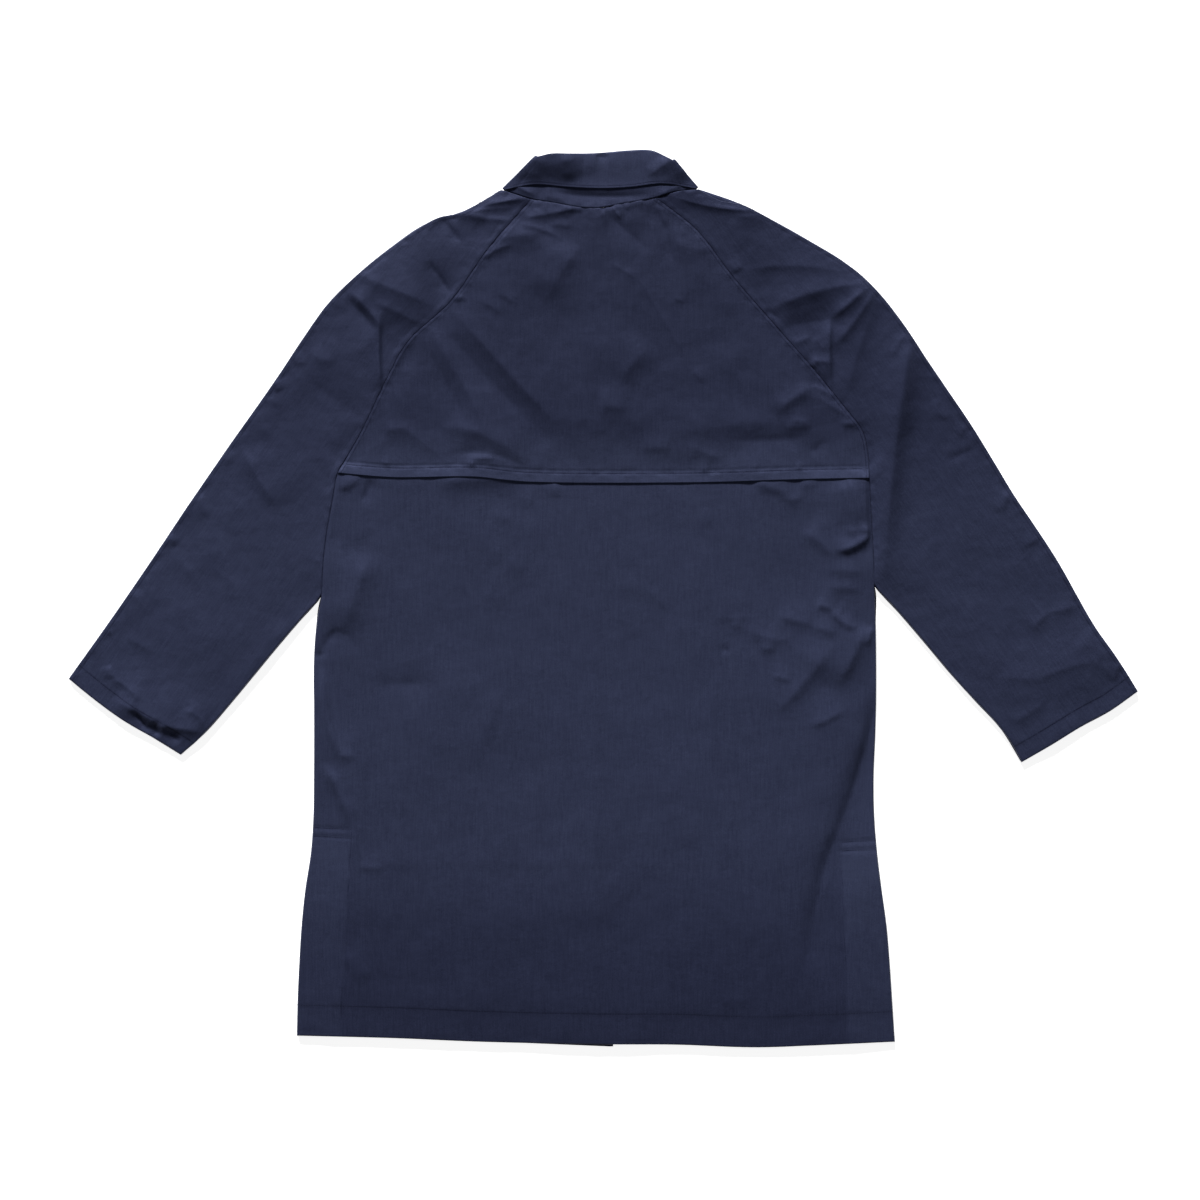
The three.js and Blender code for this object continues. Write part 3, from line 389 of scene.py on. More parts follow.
def frame_grid(node, side):
    """One side of a node's wall as an array [row, column, xyz], with its first row nearest the collar."""
    mesh = bmesh.new()
    mesh.from_mesh(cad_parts[node].data)
    bmesh.ops.remove_doubles(mesh, verts=mesh.verts, dist=SAME_POINT)
    mesh.normal_update()
    faces = max(wall_sides(mesh), key=lambda group: sum(map(MEASURES[side], group)))
    rings = {face: list(face.verts)[::-1 if side == "bottom" else 1] for face in faces}
    faces_at = {}
    for face, ring in rings.items():
        for corner in ring:
            faces_at.setdefault(corner, []).append(face)
    # Each cell is halved by the diagonal from its upper left corner. So round every triangle, one edge
    # runs along a column, the next along a row, and the third is the diagonal, and a corner of the
    # whole grid that has one triangle lies between the first two.
    start = next(corner for corner, around in faces_at.items() if len(around) == 1)
    first = faces_at[start][0]
    k = rings[first].index(start)
    ring = [rings[first][(k + n) % 3] for n in (-1, 0, 1)]
    place = {ring[0]: (0, 0)}
    waiting, seen = [(first, ring, 1)], {first}
    while waiting:
        face, ring, way = waiting.pop()
        row, column = place[ring[0]]
        place[ring[1]] = (row + way, column)
        place[ring[2]] = (row + way, column + way)
        for n in range(3):
            here, there = ring[n], ring[(n + 1) % 3]
            for other in faces_at[here]:
                if other in seen or there not in rings[other]:
                    continue
                seen.add(other)
                # The edge that they share has the same place in both triangles, and runs the other way.
                k = rings[other].index(there) - n
                turned = [rings[other][(k + m) % 3] for m in range(3)]
                down, across = ((0, 0), (way, 0), (way, way))[n]
                place[turned[0]] = (place[there][0] + down, place[there][1] + across)
                waiting.append((other, turned, -way))
    places = np.array(list(place.values()))
    places -= places.min(0)
    grid = np.zeros((*(places.max(0) + 1), 3))
    grid[places[:, 0], places[:, 1]] = [corner.co[:] for corner in place]
    mesh.free()
    return grid if grid[0, :, 1].mean() > grid[-1, :, 1].mean() else grid[::-1, ::-1]


def graded(*knots):
    """Places along one way of a grid: each knot is a place there and the number of steps up to it."""
    steps = np.cumsum([count for _, count in knots])
    return np.interp(np.arange(steps[-1] + 1), steps, [place for place, _ in knots])


def finer(grid, places, axis, straight=False):
    """The grid at other places along one axis, on smooth or straight lines through its points."""
    grid = np.moveaxis(grid, axis, 0)
    ends = np.concatenate([2 * grid[:1] - grid[1:2], grid, 2 * grid[-1:] - grid[-2:-1]])
    k = np.clip(places.astype(int), 0, len(grid) - 2)
    t = (places - k)[:, None, None]
    a, b, c, d = ends[k], ends[k + 1], ends[k + 2], ends[k + 3]
    curve = b + t / 2 * (c - a + t * (2 * a - 5 * b + 4 * c - d + t * (3 * (b - c) + d - a)))
    return np.moveaxis(b + t * (c - b) if straight else curve, 0, axis)


def relaxed(grid, passes):
    """The grid with its sharp turns rounded: each pass moves a point towards its neighbours' middle."""
    for _ in range(passes):
        for axis in (0, 1):
            line = np.moveaxis(grid, axis, 0)
            inner = line[1:-1] / 2 + (line[:-2] + line[2:]) / 4
            grid = np.moveaxis(np.concatenate([line[:1], inner, line[-1:]]), 0, axis)
    return grid


def evenly(line, step):
    """Points about a step apart along a line of points."""
    run = np.concatenate([[0], np.cumsum(np.linalg.norm(np.diff(line, axis=0), axis=1))])
    at = np.linspace(0, run[-1], max(2, round(run[-1] / step) + 1))
    return np.stack([np.interp(at, run, line[:, n]) for n in range(line.shape[1])], axis=1)


def cloth_heights(places, piece, up=1):
    """The height at which each place in plan meets a piece from above or below, or nan if it misses."""
    faces = [face.vertices for face in piece.data.polygons]
    tree = BVHTree.FromPolygons([corner.co for corner in piece.data.vertices], faces)
    hits = [tree.ray_cast(Vector((x, y, up * FAR)), Vector((0, 0, -up)))[0] for x, y in places]
    return np.array([math.nan if hit is None else hit.z for hit in hits])


def border_of(grid, side):
    """One border of a grid, in order down or across."""
    return {"top": grid[0], "bottom": grid[-1], "left": grid[:, 0], "right": grid[:, -1]}[side]


class Sheet:
    """The shown face of a panel: points [row, column, xyz], and the frame's own rows that they are at."""

    def __init__(self, node, side, soften=0, level=None, passes=0):
        """Reads the frame's points and makes finer ones between them.

        soften and passes are how often the frame's own points and the finer ones are relaxed, and level
        gives how many lines of points beside a border stay almost level.
        """
        self.rows, columns = (graded(*knots) for knots in GRIDS[node])
        grid = frame_grid(node, side)
        grid[1:-1, 1:-1, 2] = relaxed(grid, soften)[1:-1, 1:-1, 2]
        for border, depth in (level or {}).items():
            lines = {"bottom": grid[::-1], "left": grid.swapaxes(0, 1),
                     "right": grid[:, ::-1].swapaxes(0, 1)}[border]
            for k in reversed(range(depth)):
                lines[k, :, 2] = np.maximum(lines[k, :, 2], lines[k + 1, :, 2] - BORDER_FALL)
        straight = passes > 0
        self.points = finer(finer(grid, self.rows, 0, straight), columns, 1, straight)
        self.points = relaxed(self.points, passes)
        self.plan = self.points[..., :2].copy()
        self.up = -1 if side == "bottom" else 1
        self.marks = {}

    def border(self, side, first=0, last=math.inf):
        """One border's points in plan, between two of the frame's rows."""
        line = border_of(self.plan, side)
        within = (self.rows >= first) & (self.rows <= last)
        return line[within] if side in ("left", "right") else line

    def distance(self, *lines):
        """How far each point is in plan from the nearest of some lines."""
        dense = np.concatenate([evenly(line, FINE_STEP) for line in lines])
        tree = kdtree.KDTree(len(dense))
        for index, (x, y) in enumerate(dense):
            tree.insert((x, y, 0), index)
        tree.balance()
        flat = self.plan.reshape(-1, 2)
        return np.array([tree.find((x, y, 0))[2] for x, y in flat]).reshape(self.plan.shape[:2])

    def raise_by(self, height):
        """Moves the shown face out by a height, up or down as it faces."""
        self.points[..., 2] += self.up * height

    def keep_above(self, floor):
        """Stops the troughs softly above a height."""
        over = (self.points[..., 2] - floor) / FLOOR_SOFTNESS
        self.points[..., 2] = floor + FLOOR_SOFTNESS * np.logaddexp(0, over)

    def settle(self, border, outside, pieces, gap, spread, steps=10):
        """How far to raise the points for a border to meet pieces that lie a little outside it in plan."""
        line = border_of(self.points, border)
        beside = line[:, :2] + np.array(outside)
        below = np.fmax.reduce([cloth_heights(beside, piece) for piece in pieces])
        shift = np.where(np.isnan(below), 0, below + gap - line[:, 2])
        window = np.full(2 * steps + 1, 1 / (2 * steps + 1))
        shift = np.convolve(np.pad(shift, steps, "edge"), window, "valid")
        shift = shift[None, :] if border in ("top", "bottom") else shift[:, None]
        return shift * (1 - ramp(self.distance(self.border(border)), *spread))

    def close_down(self, outline):
        """Turns the outline down to the layer below."""
        self.points[..., 2] += (EDGE_LEVEL - self.points[..., 2]) * bell(outline, EDGE_REACH)

    def normals(self):
        down, across = np.gradient(self.points, axis=0), np.gradient(self.points, axis=1)
        normal = np.cross(down, across)
        return normal / np.linalg.norm(normal, axis=2, keepdims=True)


# ---------------------------------------------------------------- how cloth lies

def bell(distance, reach):
    return np.exp(-(distance / reach) ** 2)


def ramp(value, low, high):
    t = np.clip((value - low) / (high - low), 0, 1)
    return t * t * (3 - 2 * t)


def freedom(distance, name):
    """How freely the cloth creases: from its held share along a line up to 1 beyond the reach of it."""
    reach, held = HOLD[name]
    return held + (1 - held) * ramp(distance, 0, reach)


def creases(name, plan):
    """The height that a piece's creases add at points in plan."""
    total = np.zeros(plan.shape[:2])
    for values in CREASES[name]:
        crease = dict(zip(CREASE_COLUMNS, values))
        start = np.array([crease["x1"], crease["y1"]]) * MM
        end = np.array([crease["x2"], crease["y2"]]) * MM
        length = np.linalg.norm(end - start)
        way = (end - start) / length
        leftwards = np.array([-way[1], way[0]])
        offset = plan - start
        run = offset @ way / length
        t = np.clip(run, 0, 1)
        aside = offset @ leftwards - 4 * crease["bow"] * MM * t * (1 - t)
        past = (run - t) * length
        slope = leftwards @ np.array(SMOOTHED_TO) * crease["height"]
        left, right = (GENTLER, 1) if slope > 0 else (1, GENTLER)
        width = np.where(aside > 0, left * crease["left"], right * crease["right"]) * MM
        soft = crease["soft"] * MM
        share = (np.sqrt(aside ** 2 + past ** 2 + soft ** 2) - soft) / width
        present = ramp(run, *CREASE_COMES) * (1 - ramp(run, *CREASE_GOES))
        form = np.exp(-share - CREASE_TAIL * share ** 2)
        total += CREASE_GAIN * crease["height"] * MM * present * form
    return total


def unevenness(plan, seed, *layers):
    """An uneven height from noise: each layer is a wavelength and a height, in millimetres."""
    flat = plan.reshape(-1, 2)
    total = np.zeros(len(flat))
    for k, (wavelength, height) in enumerate(layers):
        z = seed * SEED_APART + k * LAYER_APART
        total += height * MM * np.array([noise.noise((x, y, z)) for x, y in flat / (wavelength * MM)])
    return total.reshape(plan.shape[:2])


def puckers(plan, distance, name):
    """Small gathers beside a sewn line, which fade with the distance from it."""
    row = dict(zip(PUCKER_COLUMNS, PUCKERS[name]))
    height = unevenness(plan, row["seed"], (row["wavelength"], row["height"]))
    return height * bell(distance, row["reach"] * MM)


def path(*corners):
    """A line in plan through corners given in millimetres."""
    return np.array(corners) * MM


def beyond(plan, line):
    """From 0 to 1 across a straight line in plan, towards its left."""
    start, end = line
    way = (end - start) / np.linalg.norm(end - start)
    return ramp((plan - start) @ np.array([-way[1], way[0]]), -FACING_BLEND, FACING_BLEND)


def seam_form(distance):
    """The height beside a sewn edge: it dips into the seam, and its turnings lift it further in."""
    return WELT * bell(distance - WELT_PLACE, WELT_REACH) - SEAM_DIP * np.exp(-distance / SEAM_REACH)


def turned_edge(distance, depth):
    """A turned-up edge: the row that holds it draws the cloth down, and it swells again below."""
    below_row = 1 - ramp(distance, depth - ROW_BLEND, depth + ROW_BLEND)
    return -TURN_DIP * below_row * ramp(distance, TURN_SWELL * depth, depth)


def neck_ridge(plan, distance, reach):
    """The rise of the cloth towards the neck seam, highest in the middle of the back."""
    middle = bell(plan[..., 0] - NECK_MIDDLE, NECK_SPREAD)
    return NECK_RISE * middle * np.exp(-distance / reach)


# ---------------------------------------------------------------- walls of cloth

# What a wall's points carry: how far they are from a seam, an edge and rows of stitches, and the
# painted light and shade that makes the cloth lighter or darker there.
MARKS = {"seam": 1.0, "edge": 1.0, "row_a": 1.0, "row_b": 1.0, "painted_light_shade": 0.0}


def placed(name, data):
    """A new object in the scene."""
    made = bpy.data.objects.new(name, data)
    bpy.context.scene.collection.objects.link(made)
    return made


def round_border(index):
    """The border of a grid of points' numbers, once round it, and the points just inside."""
    border = np.concatenate([index[:-1, 0], index[-1, :-1], index[:0:-1, -1], index[0, :0:-1]])
    inside = np.concatenate([index[:-1, 1], index[-2, :-1], index[:0:-1, -2], index[1, :0:-1]])
    return border, inside


def cells(index):
    """The four corners of each cell of a grid of points' numbers."""
    return np.stack([index[:-1, :-1], index[1:, :-1], index[1:, 1:], index[:-1, 1:]], -1).reshape(-1, 4)


def cloth_wall(name, sheet, material):
    """The closed wall behind a sheet's shown face, with rounded rims and a coarser hidden face."""
    rows, columns = sheet.points.shape[:2]
    assert (rows - 1) % INNER_STEP == 0 and (columns - 1) % INNER_STEP == 0, name
    shown = sheet.points
    behind = shown - sheet.up * CLOTH * sheet.normals()
    index = np.arange(rows * columns).reshape(rows, columns)
    loop, inside = round_border(index)
    flat, flat_behind = shown.reshape(-1, 3), behind.reshape(-1, 3)
    outward = flat[loop] - flat[inside]
    outward /= np.maximum(np.linalg.norm(outward, axis=1, keepdims=True), 1e-9)
    middle = (flat[loop] + flat_behind[loop]) / 2 + RIM_BULGE * CLOTH * outward
    hidden = behind[::INNER_STEP, ::INNER_STEP]
    points = np.concatenate([flat, middle, hidden.reshape(-1, 3)])

    first_middle = rows * columns
    first_hidden = first_middle + len(loop)
    low = np.arange(hidden.shape[0] * hidden.shape[1]).reshape(hidden.shape[:2]) + first_hidden
    low_loop, _ = round_border(low)
    faces = cells(index).tolist() + cells(low)[:, [0, 3, 2, 1]].tolist()
    count = len(loop)
    for k in range(count):
        after = (k + 1) % count
        faces.append([loop[after], loop[k], first_middle + k, first_middle + after])
    for k, corner in enumerate(low_loop):
        steps = [first_middle + (k * INNER_STEP + n) % count for n in range(INNER_STEP, -1, -1)]
        faces.append([*steps, corner, low_loop[(k + 1) % len(low_loop)]])
    if sheet.up < 0:
        faces = [face[::-1] for face in faces]

    mesh = bpy.data.meshes.new(name)
    mesh.from_pydata(points, [], faces)
    mesh.shade_smooth()
    for mark, usual in MARKS.items():
        values = sheet.marks.get(mark, np.full((rows, columns), usual))
        spread = np.concatenate([values.ravel(), values.ravel()[loop],
                                 values[::INNER_STEP, ::INNER_STEP].ravel()])
        mesh.attributes.new(mark, "FLOAT", "POINT").data.foreach_set("value", spread.astype(np.float32))
    mesh.materials.append(material)
    return placed(name, mesh)


# ---------------------------------------------------------------- the pieces

def make_back(material):
    sheet = Sheet("back", "top", soften=1, level={"bottom": 1, "left": 1, "right": 1})
    x, y = sheet.plan[..., 0], sheet.plan[..., 1]
    armholes = sheet.distance(sheet.border("left", 0, ARMHOLE_ROW), sheet.border("right", 0, ARMHOLE_ROW))
    outline = sheet.distance(sheet.border("left", ARMHOLE_ROW), sheet.border("right", ARMHOLE_ROW),
                             sheet.border("bottom"))
    hem = sheet.distance(sheet.border("bottom"))
    tacked = sheet.distance(*(path(*row) for row in TACKS))
    left, right = (path(*FACINGS[side]) for side in ("left", "right"))
    outside = np.maximum(1 - beyond(sheet.plan, left), beyond(sheet.plan, right))
    facing = outside * (1 - ramp(y, *FACING_TOP_Y))
    free = freedom(armholes, "back seam") * freedom(outline, "back outline")
    height = free * (creases("back", sheet.plan) + unevenness(sheet.plan, *UNEVEN["back"]))
    sheet.raise_by(np.where(height < 0, BACK_TROUGH * np.tanh(height / BACK_TROUGH), height))
    sheet.raise_by(-UNDER_FLAP_SINK * (1 - ramp(sheet.rows, *UNDER_FLAP_ROWS))[:, None])
    sheet.raise_by(seam_form(armholes) + turned_edge(hem, HEM))
    sheet.raise_by(FACING_RISE * facing - TACK_DIP * bell(tacked, TACK_REACH))
    sheet.close_down(outline)
    # Painted light and shade: the back is lighter, darker towards the hem, and lighter again over the vent
    # facings.
    painted_light_shade = PAINTED_LIGHT_SHADE["back"] + PAINTED_LIGHT_SHADE["skirt"] * (1 - ramp(y, *SKIRT_Y))
    painted_light_shade += np.where(x < 0, PAINTED_LIGHT_SHADE["left facing"], PAINTED_LIGHT_SHADE["right facing"]) * facing
    sheet.marks = {"seam": armholes, "edge": outline, "row_a": np.minimum(np.abs(hem - HEM), tacked),
                   "row_b": sheet.distance(left, right), "painted_light_shade": painted_light_shade}
    return sheet, cloth_wall("coat_back", sheet, material)


def make_flap(material, around):
    sheet = Sheet("back_flap", "top", soften=2)
    raglans = sheet.distance(sheet.border("left"), sheet.border("right"))
    neck = sheet.distance(sheet.border("top"))
    sewn = np.minimum(raglans, neck)
    hem = sheet.distance(sheet.border("bottom"))
    sheet.raise_by(-FLAP_SINK)
    level = SEAM_LEVEL + SEAM_CLIMB * ramp(sheet.plan[..., 1], *SEAM_CLIMB_Y)
    near = (1 - ramp(raglans, 0, SEAM_NEAR)) * ramp(hem, 0, SEAM_OFF_HEM)
    sheet.raise_by((level - sheet.points[..., 2]) * near)
    sheet.raise_by(FLAP_HEM_RISE * np.maximum(0, 1 - hem / FLAP_HEM_REACH))
    below = [around["back"]]
    sheet.raise_by(sheet.settle("bottom", (0, -STEP_OUT), below, CLOTH + FLAP_HEM_GAP, FLAP_HEM_SPREAD))
    free = freedom(raglans, "flap seam") * ramp(neck, *NECK_FREE) * ramp(hem, *HEM_FREE)
    sheet.raise_by(free * (creases("flap", sheet.plan) + unevenness(sheet.plan, *UNEVEN["flap"])))
    sheet.raise_by(sheet.settle("top", (0, STEP_OUT), [around["stand"]], 0, (0, NECK_BELOW)))
    sheet.raise_by(-FLAP_ROW_DIP * bell(hem - FLAP_HEM, FLAP_ROW_REACH))
    sheet.raise_by(-RAW_EDGE_DIP * bell(hem - RAW_EDGE, RAW_EDGE_REACH))
    sheet.raise_by(puckers(sheet.plan, raglans, "flap raglan"))
    sheet.raise_by(puckers(sheet.plan, neck, "flap neck"))
    sheet.raise_by(puckers(sheet.plan, hem - FLAP_HEM, "flap hem"))
    sheet.keep_above(FLAP_FLOOR)
    sheet.raise_by(seam_form(sewn))
    tuck = np.exp(-neck / TUCK_REACH)
    sheet.points[..., 1] += NECK_TUCK * tuck
    sheet.raise_by(-TUCK_DROP * tuck)
    # Painted light and shade: the flap is darker, and lighter along its turned-up hem and above it, where
    # it rises to the hem.
    painted_light_shade = PAINTED_LIGHT_SHADE["flap"] + PAINTED_LIGHT_SHADE["flap hem"] * (1 - ramp(hem, FLAP_HEM - ROW_BLEND, FLAP_HEM + ROW_BLEND))
    painted_light_shade += PAINTED_LIGHT_SHADE["above flap hem"] * (1 - ramp(hem, *ABOVE_FLAP_HEM))
    sheet.marks = {"seam": sewn, "edge": hem, "row_a": raglans - SEAM_STITCH, "row_b": hem - FLAP_HEM,
                   "painted_light_shade": painted_light_shade}
    return sheet, cloth_wall("storm_flap", sheet, material)


def make_back_sleeve(side, material, body_pieces):
    body, shoulder = ("right", "left") if side == "left" else ("left", "right")
    level = {"bottom": 1, body: 1, shoulder: 3}
    sheet = Sheet(f"sleeve_back_{side}", "top", soften=1, level=level)
    y = sheet.plan[..., 1]
    sewn = sheet.distance(sheet.border(body, 0, ARMHOLE_ROW), sheet.border("top"))
    overarm = sheet.distance(sheet.border(shoulder))
    cuff = sheet.distance(sheet.border("bottom"))
    outline = np.minimum(np.minimum(overarm, cuff), sheet.distance(sheet.border(body, ARMHOLE_ROW)))
    free = freedom(sewn, "sleeve seam") * freedom(outline, "sleeve outline")
    name = f"sleeve_{side}"
    sheet.raise_by(free * (creases(name, sheet.plan) + unevenness(sheet.plan, *UNEVEN[name])))
    sheet.raise_by(puckers(sheet.plan, overarm - OVERARM_SEAM, f"{side} overarm"))
    sheet.raise_by(puckers(sheet.plan, sewn, f"{side} raglan"))
    sheet.raise_by(turned_edge(cuff, CUFF))
    sheet.keep_above(SLEEVE_FLOOR)
    outside = (SLEEVE_STEP_OUT if side == "left" else -SLEEVE_STEP_OUT, 0)
    meeting = sheet.settle(body, outside, body_pieces, 0, (0, SLEEVE_MEETS), steps=4)
    sheet.raise_by(meeting * (1 - ramp(sheet.rows, ARMHOLE_ROW - 1, ARMHOLE_ROW))[:, None])
    sheet.raise_by(seam_form(sewn))
    sheet.close_down(outline)
    # Painted light and shade: the sleeve is lighter, and darker on its upper part and at its top by the
    # neck.
    painted_light_shade = PAINTED_LIGHT_SHADE["sleeve"] + PAINTED_LIGHT_SHADE["upper sleeve"] * ramp(y, *UPPER_SLEEVE_Y)
    painted_light_shade += PAINTED_LIGHT_SHADE["sleeve top"] * ramp(y, *SLEEVE_TOP_Y)
    sheet.marks = {"seam": sewn, "edge": outline, "row_a": cuff - CUFF, "row_b": overarm - OVERARM_SEAM,
                   "painted_light_shade": painted_light_shade}
    return sheet, cloth_wall(f"sleeve_back_outer_{side}", sheet, material)


def crease_hidden_side(sheet, name, free, sewn):
    """Troughs alone on the side that rests on the floor, and the dip into its seams."""
    sheet.raise_by(np.minimum(0, free * creases(name, sheet.plan)))
    sheet.raise_by(-SEAM_DIP * np.exp(-sewn / SEAM_REACH))


def make_front(side, material):
    sheet = Sheet(f"front_{side}", "bottom")
    centre, outer = ("right", "left") if side == "left" else ("left", "right")
    sewn = sheet.distance(sheet.border(outer, 0, FRONT_ARMHOLE_ROW), sheet.border("top"))
    hem = sheet.distance(sheet.border("bottom"))
    opening = sheet.distance(sheet.border(centre))
    outline = np.minimum(np.minimum(sheet.distance(sheet.border(outer, FRONT_ARMHOLE_ROW)), hem), opening)
    crease_hidden_side(sheet, f"front_{side}", freedom(np.minimum(sewn, outline), "front"), sewn)
    sheet.marks = {"seam": sewn, "edge": outline, "row_a": hem - HEM, "row_b": opening - FLY}
    return sheet, cloth_wall(f"front_outer_{side}", sheet, material)


def make_front_sleeve(side, material):
    sheet = Sheet(f"sleeve_front_{side}", "bottom")
    body = "right" if side == "left" else "left"
    sewn = sheet.distance(sheet.border(body, 0, FRONT_ARMHOLE_ROW), sheet.border("top"))
    cuff = sheet.distance(sheet.border("bottom"))
    outline = np.minimum(sheet.distance(sheet.border("left"), sheet.border("right")), cuff)
    crease_hidden_side(sheet, f"sleeve_front_{side}", freedom(outline, "front sleeve"), sewn)
    sheet.marks = {"seam": sewn, "edge": cuff, "row_a": cuff - CUFF}
    return sheet, cloth_wall(f"sleeve_front_outer_{side}", sheet, material)


def move_collar(sheet, name):
    """Creases and unevenness where the collar faces up, and how far each of its points does."""
    normals = sheet.normals()
    back = ramp(normals[..., 2], 0.2, 0.9)
    lift = back * (creases(name, sheet.plan) + unevenness(sheet.plan, *UNEVEN[name]))
    sheet.points += normals * lift[..., None]
    return back


def make_stand(material):
    sheet = Sheet("collar_stand", "outer", passes=COLLAR_PASSES)
    neck = sheet.distance(sheet.border("bottom"))
    back = move_collar(sheet, "stand")
    sheet.raise_by(back * neck_ridge(sheet.plan, neck, NECK_ABOVE))
    sheet.raise_by(back * puckers(sheet.plan, neck, "stand neck"))
    # Painted shade: the stand is darker.
    sheet.marks = {"painted_light_shade": np.full(neck.shape, PAINTED_LIGHT_SHADE["stand"])}
    return sheet, cloth_wall("collar_fall", sheet, material)


def make_leaf(material, stand):
    sheet = Sheet("collar_leaf", "outer", passes=COLLAR_PASSES)
    edge = sheet.distance(sheet.border("bottom"))
    back = move_collar(sheet, "leaf")
    x = sheet.plan[..., 0]
    left, right = 1 - ramp(x, *LEAF_LEFT), ramp(x, *LEAF_RIGHT)
    roll = (LEAF_ROLL["left"] * left + LEAF_ROLL["right"] * right) * ramp(edge, 0, LEAF_ROLL_REACH)
    below = sheet.settle("bottom", (0, -STEP_OUT), [stand], CLOTH + LEAF_GAP, LEAF_SPREAD)
    sheet.raise_by(back * (below + roll))
    # Painted light where the leaf faces up, and painted shade towards its ends.
    on_back = PAINTED_LIGHT_SHADE["leaf back"] + PAINTED_LIGHT_SHADE["leaf left"] * left + PAINTED_LIGHT_SHADE["leaf right"] * right
    sheet.marks = {"edge": edge, "row_a": edge - COLLAR_STITCH, "painted_light_shade": PAINTED_LIGHT_SHADE["leaf"] + back * on_back}
    return sheet, cloth_wall("collar_top", sheet, material)


# ---------------------------------------------------------------- sewing, by geometry nodes

def add_node(tree, kind, inputs=None, **settings):
    """A new node with its settings, and with its inputs given as values or as other nodes' outputs."""
    made = tree.nodes.new(kind)
    for name, value in settings.items():
        setattr(made, name, value)
    for name, value in (inputs or {}).items():
        if isinstance(value, bpy.types.NodeSocket):
            tree.links.new(value, made.inputs[name])
        else:
            made.inputs[name].default_value = value
    return made


def stitch_tree():
    """Stitches along a drawn line: a short rounded stitch at every pitch, turned along the line."""
    tree = bpy.data.node_groups.new("stitches along a line", "GeometryNodeTree")
    face = tree.interface
    face.new_socket("Line", in_out="INPUT", socket_type="NodeSocketGeometry")
    for name, size in (("Pitch", STITCH_PITCH), ("Length", STITCH_LENGTH), ("Thread", THREAD)):
        face.new_socket(name, in_out="INPUT", socket_type="NodeSocketFloat").default_value = size
    face.new_socket("Material", in_out="INPUT", socket_type="NodeSocketMaterial")
    face.new_socket("Stitches", in_out="OUTPUT", socket_type="NodeSocketGeometry")
    given = tree.nodes.new("NodeGroupInput").outputs
    curve = add_node(tree, "GeometryNodeMeshToCurve", {"Mesh": given["Line"]})
    places = add_node(tree, "GeometryNodeResampleCurve", {"Curve": curve.outputs[0]}, mode="LENGTH")
    tree.links.new(given["Pitch"], places.inputs["Length"])
    tangent = add_node(tree, "GeometryNodeInputTangent")
    turn = add_node(tree, "FunctionNodeAlignRotationToVector", {"Vector": tangent.outputs[0]}, axis="X")
    ball = add_node(tree, "GeometryNodeMeshUVSphere", {"Segments": 6, "Rings": 4, "Radius": 0.5})
    size = add_node(tree, "ShaderNodeCombineXYZ",
                    {0: given["Length"], 1: given["Thread"], 2: given["Thread"]})
    stitches = add_node(tree, "GeometryNodeInstanceOnPoints", {
        "Points": places.outputs[0], "Instance": ball.outputs[0],
        "Rotation": turn.outputs[0], "Scale": size.outputs[0]})
    real = add_node(tree, "GeometryNodeRealizeInstances", {0: stitches.outputs[0]})
    smooth = add_node(tree, "GeometryNodeSetShadeSmooth", {0: real.outputs[0]})
    coloured = add_node(tree, "GeometryNodeSetMaterial",
                        {0: smooth.outputs[0], "Material": given["Material"]})
    out = tree.nodes.new("NodeGroupOutput")
    tree.links.new(coloured.outputs[0], out.inputs[0])
    return tree


def offset_line(line, distance):
    """A line of points in plan moved to the left of its direction."""
    line = evenly(line, LINE_STEP)
    way = np.gradient(line, axis=0)
    way /= np.linalg.norm(way, axis=1, keepdims=True)
    return line + distance * np.stack([-way[:, 1], way[:, 0]], axis=1)


def on_cloth(line, piece, up):
    """The parts of a plan line that lie on a piece, as lists of points just under its face."""
    runs = [[]]
    for (x, y), z in zip(line, cloth_heights(line, piece, up)):
        if math.isnan(z):
            runs.append([])
        else:
            runs[-1].append((x, y, z - up * STITCH_SINK))
    return [run for run in runs if len(run) > 1]


def sew(name, lines, tree, material):
    """One mesh of all the stitches along some lines of points."""
    points, edges = [], []
    for line in lines:
        edges += [(len(points) + k, len(points) + k + 1) for k in range(len(line) - 1)]
        points += line
    mesh = bpy.data.meshes.new(name + "_line")
    mesh.from_pydata(points, edges, [])
    drawn = placed(name, mesh)
    modifier = drawn.modifiers.new("stitches", "NODES")
    modifier.node_group = tree
    values = {"Pitch": STITCH_PITCH, "Length": STITCH_LENGTH, "Thread": THREAD, "Material": material}
    for item in tree.interface.items_tree:
        if item.in_out == "INPUT" and item.name in values:
            modifier[item.identifier] = values[item.name]
    evaluated = drawn.evaluated_get(bpy.context.evaluated_depsgraph_get())
    shown = bpy.data.meshes.new_from_object(evaluated)
    shown.name = name
    drawn.modifiers.clear()
    drawn.data = shown
    return drawn


# ---------------------------------------------------------------- materials

NAVY = (0.0182, 0.0217, 0.0450, 1)
NAVY_DARK = (0.0100, 0.0119, 0.0271, 1)
NAVY_LIGHT = (0.0290, 0.0349, 0.0677, 1)
THREAD_NAVY = (0.0030, 0.0036, 0.0085, 1)
PAPER_WHITE = (0.92, 0.92, 0.92, 1)

CLOTH_FINISH = {"Sheen Weight": 0.03, "Sheen Roughness": 0.45, "Sheen Tint": (0.55, 0.62, 0.95, 1),
                "Specular IOR Level": 0.3, "Specular Tint": (0.42, 0.5, 1.0, 1)}
THREAD_FINISH = {"Specular IOR Level": 0.1}
PAPER_FINISH = {"Emission Color": (1, 1, 1, 1), "Emission Strength": 0.8}

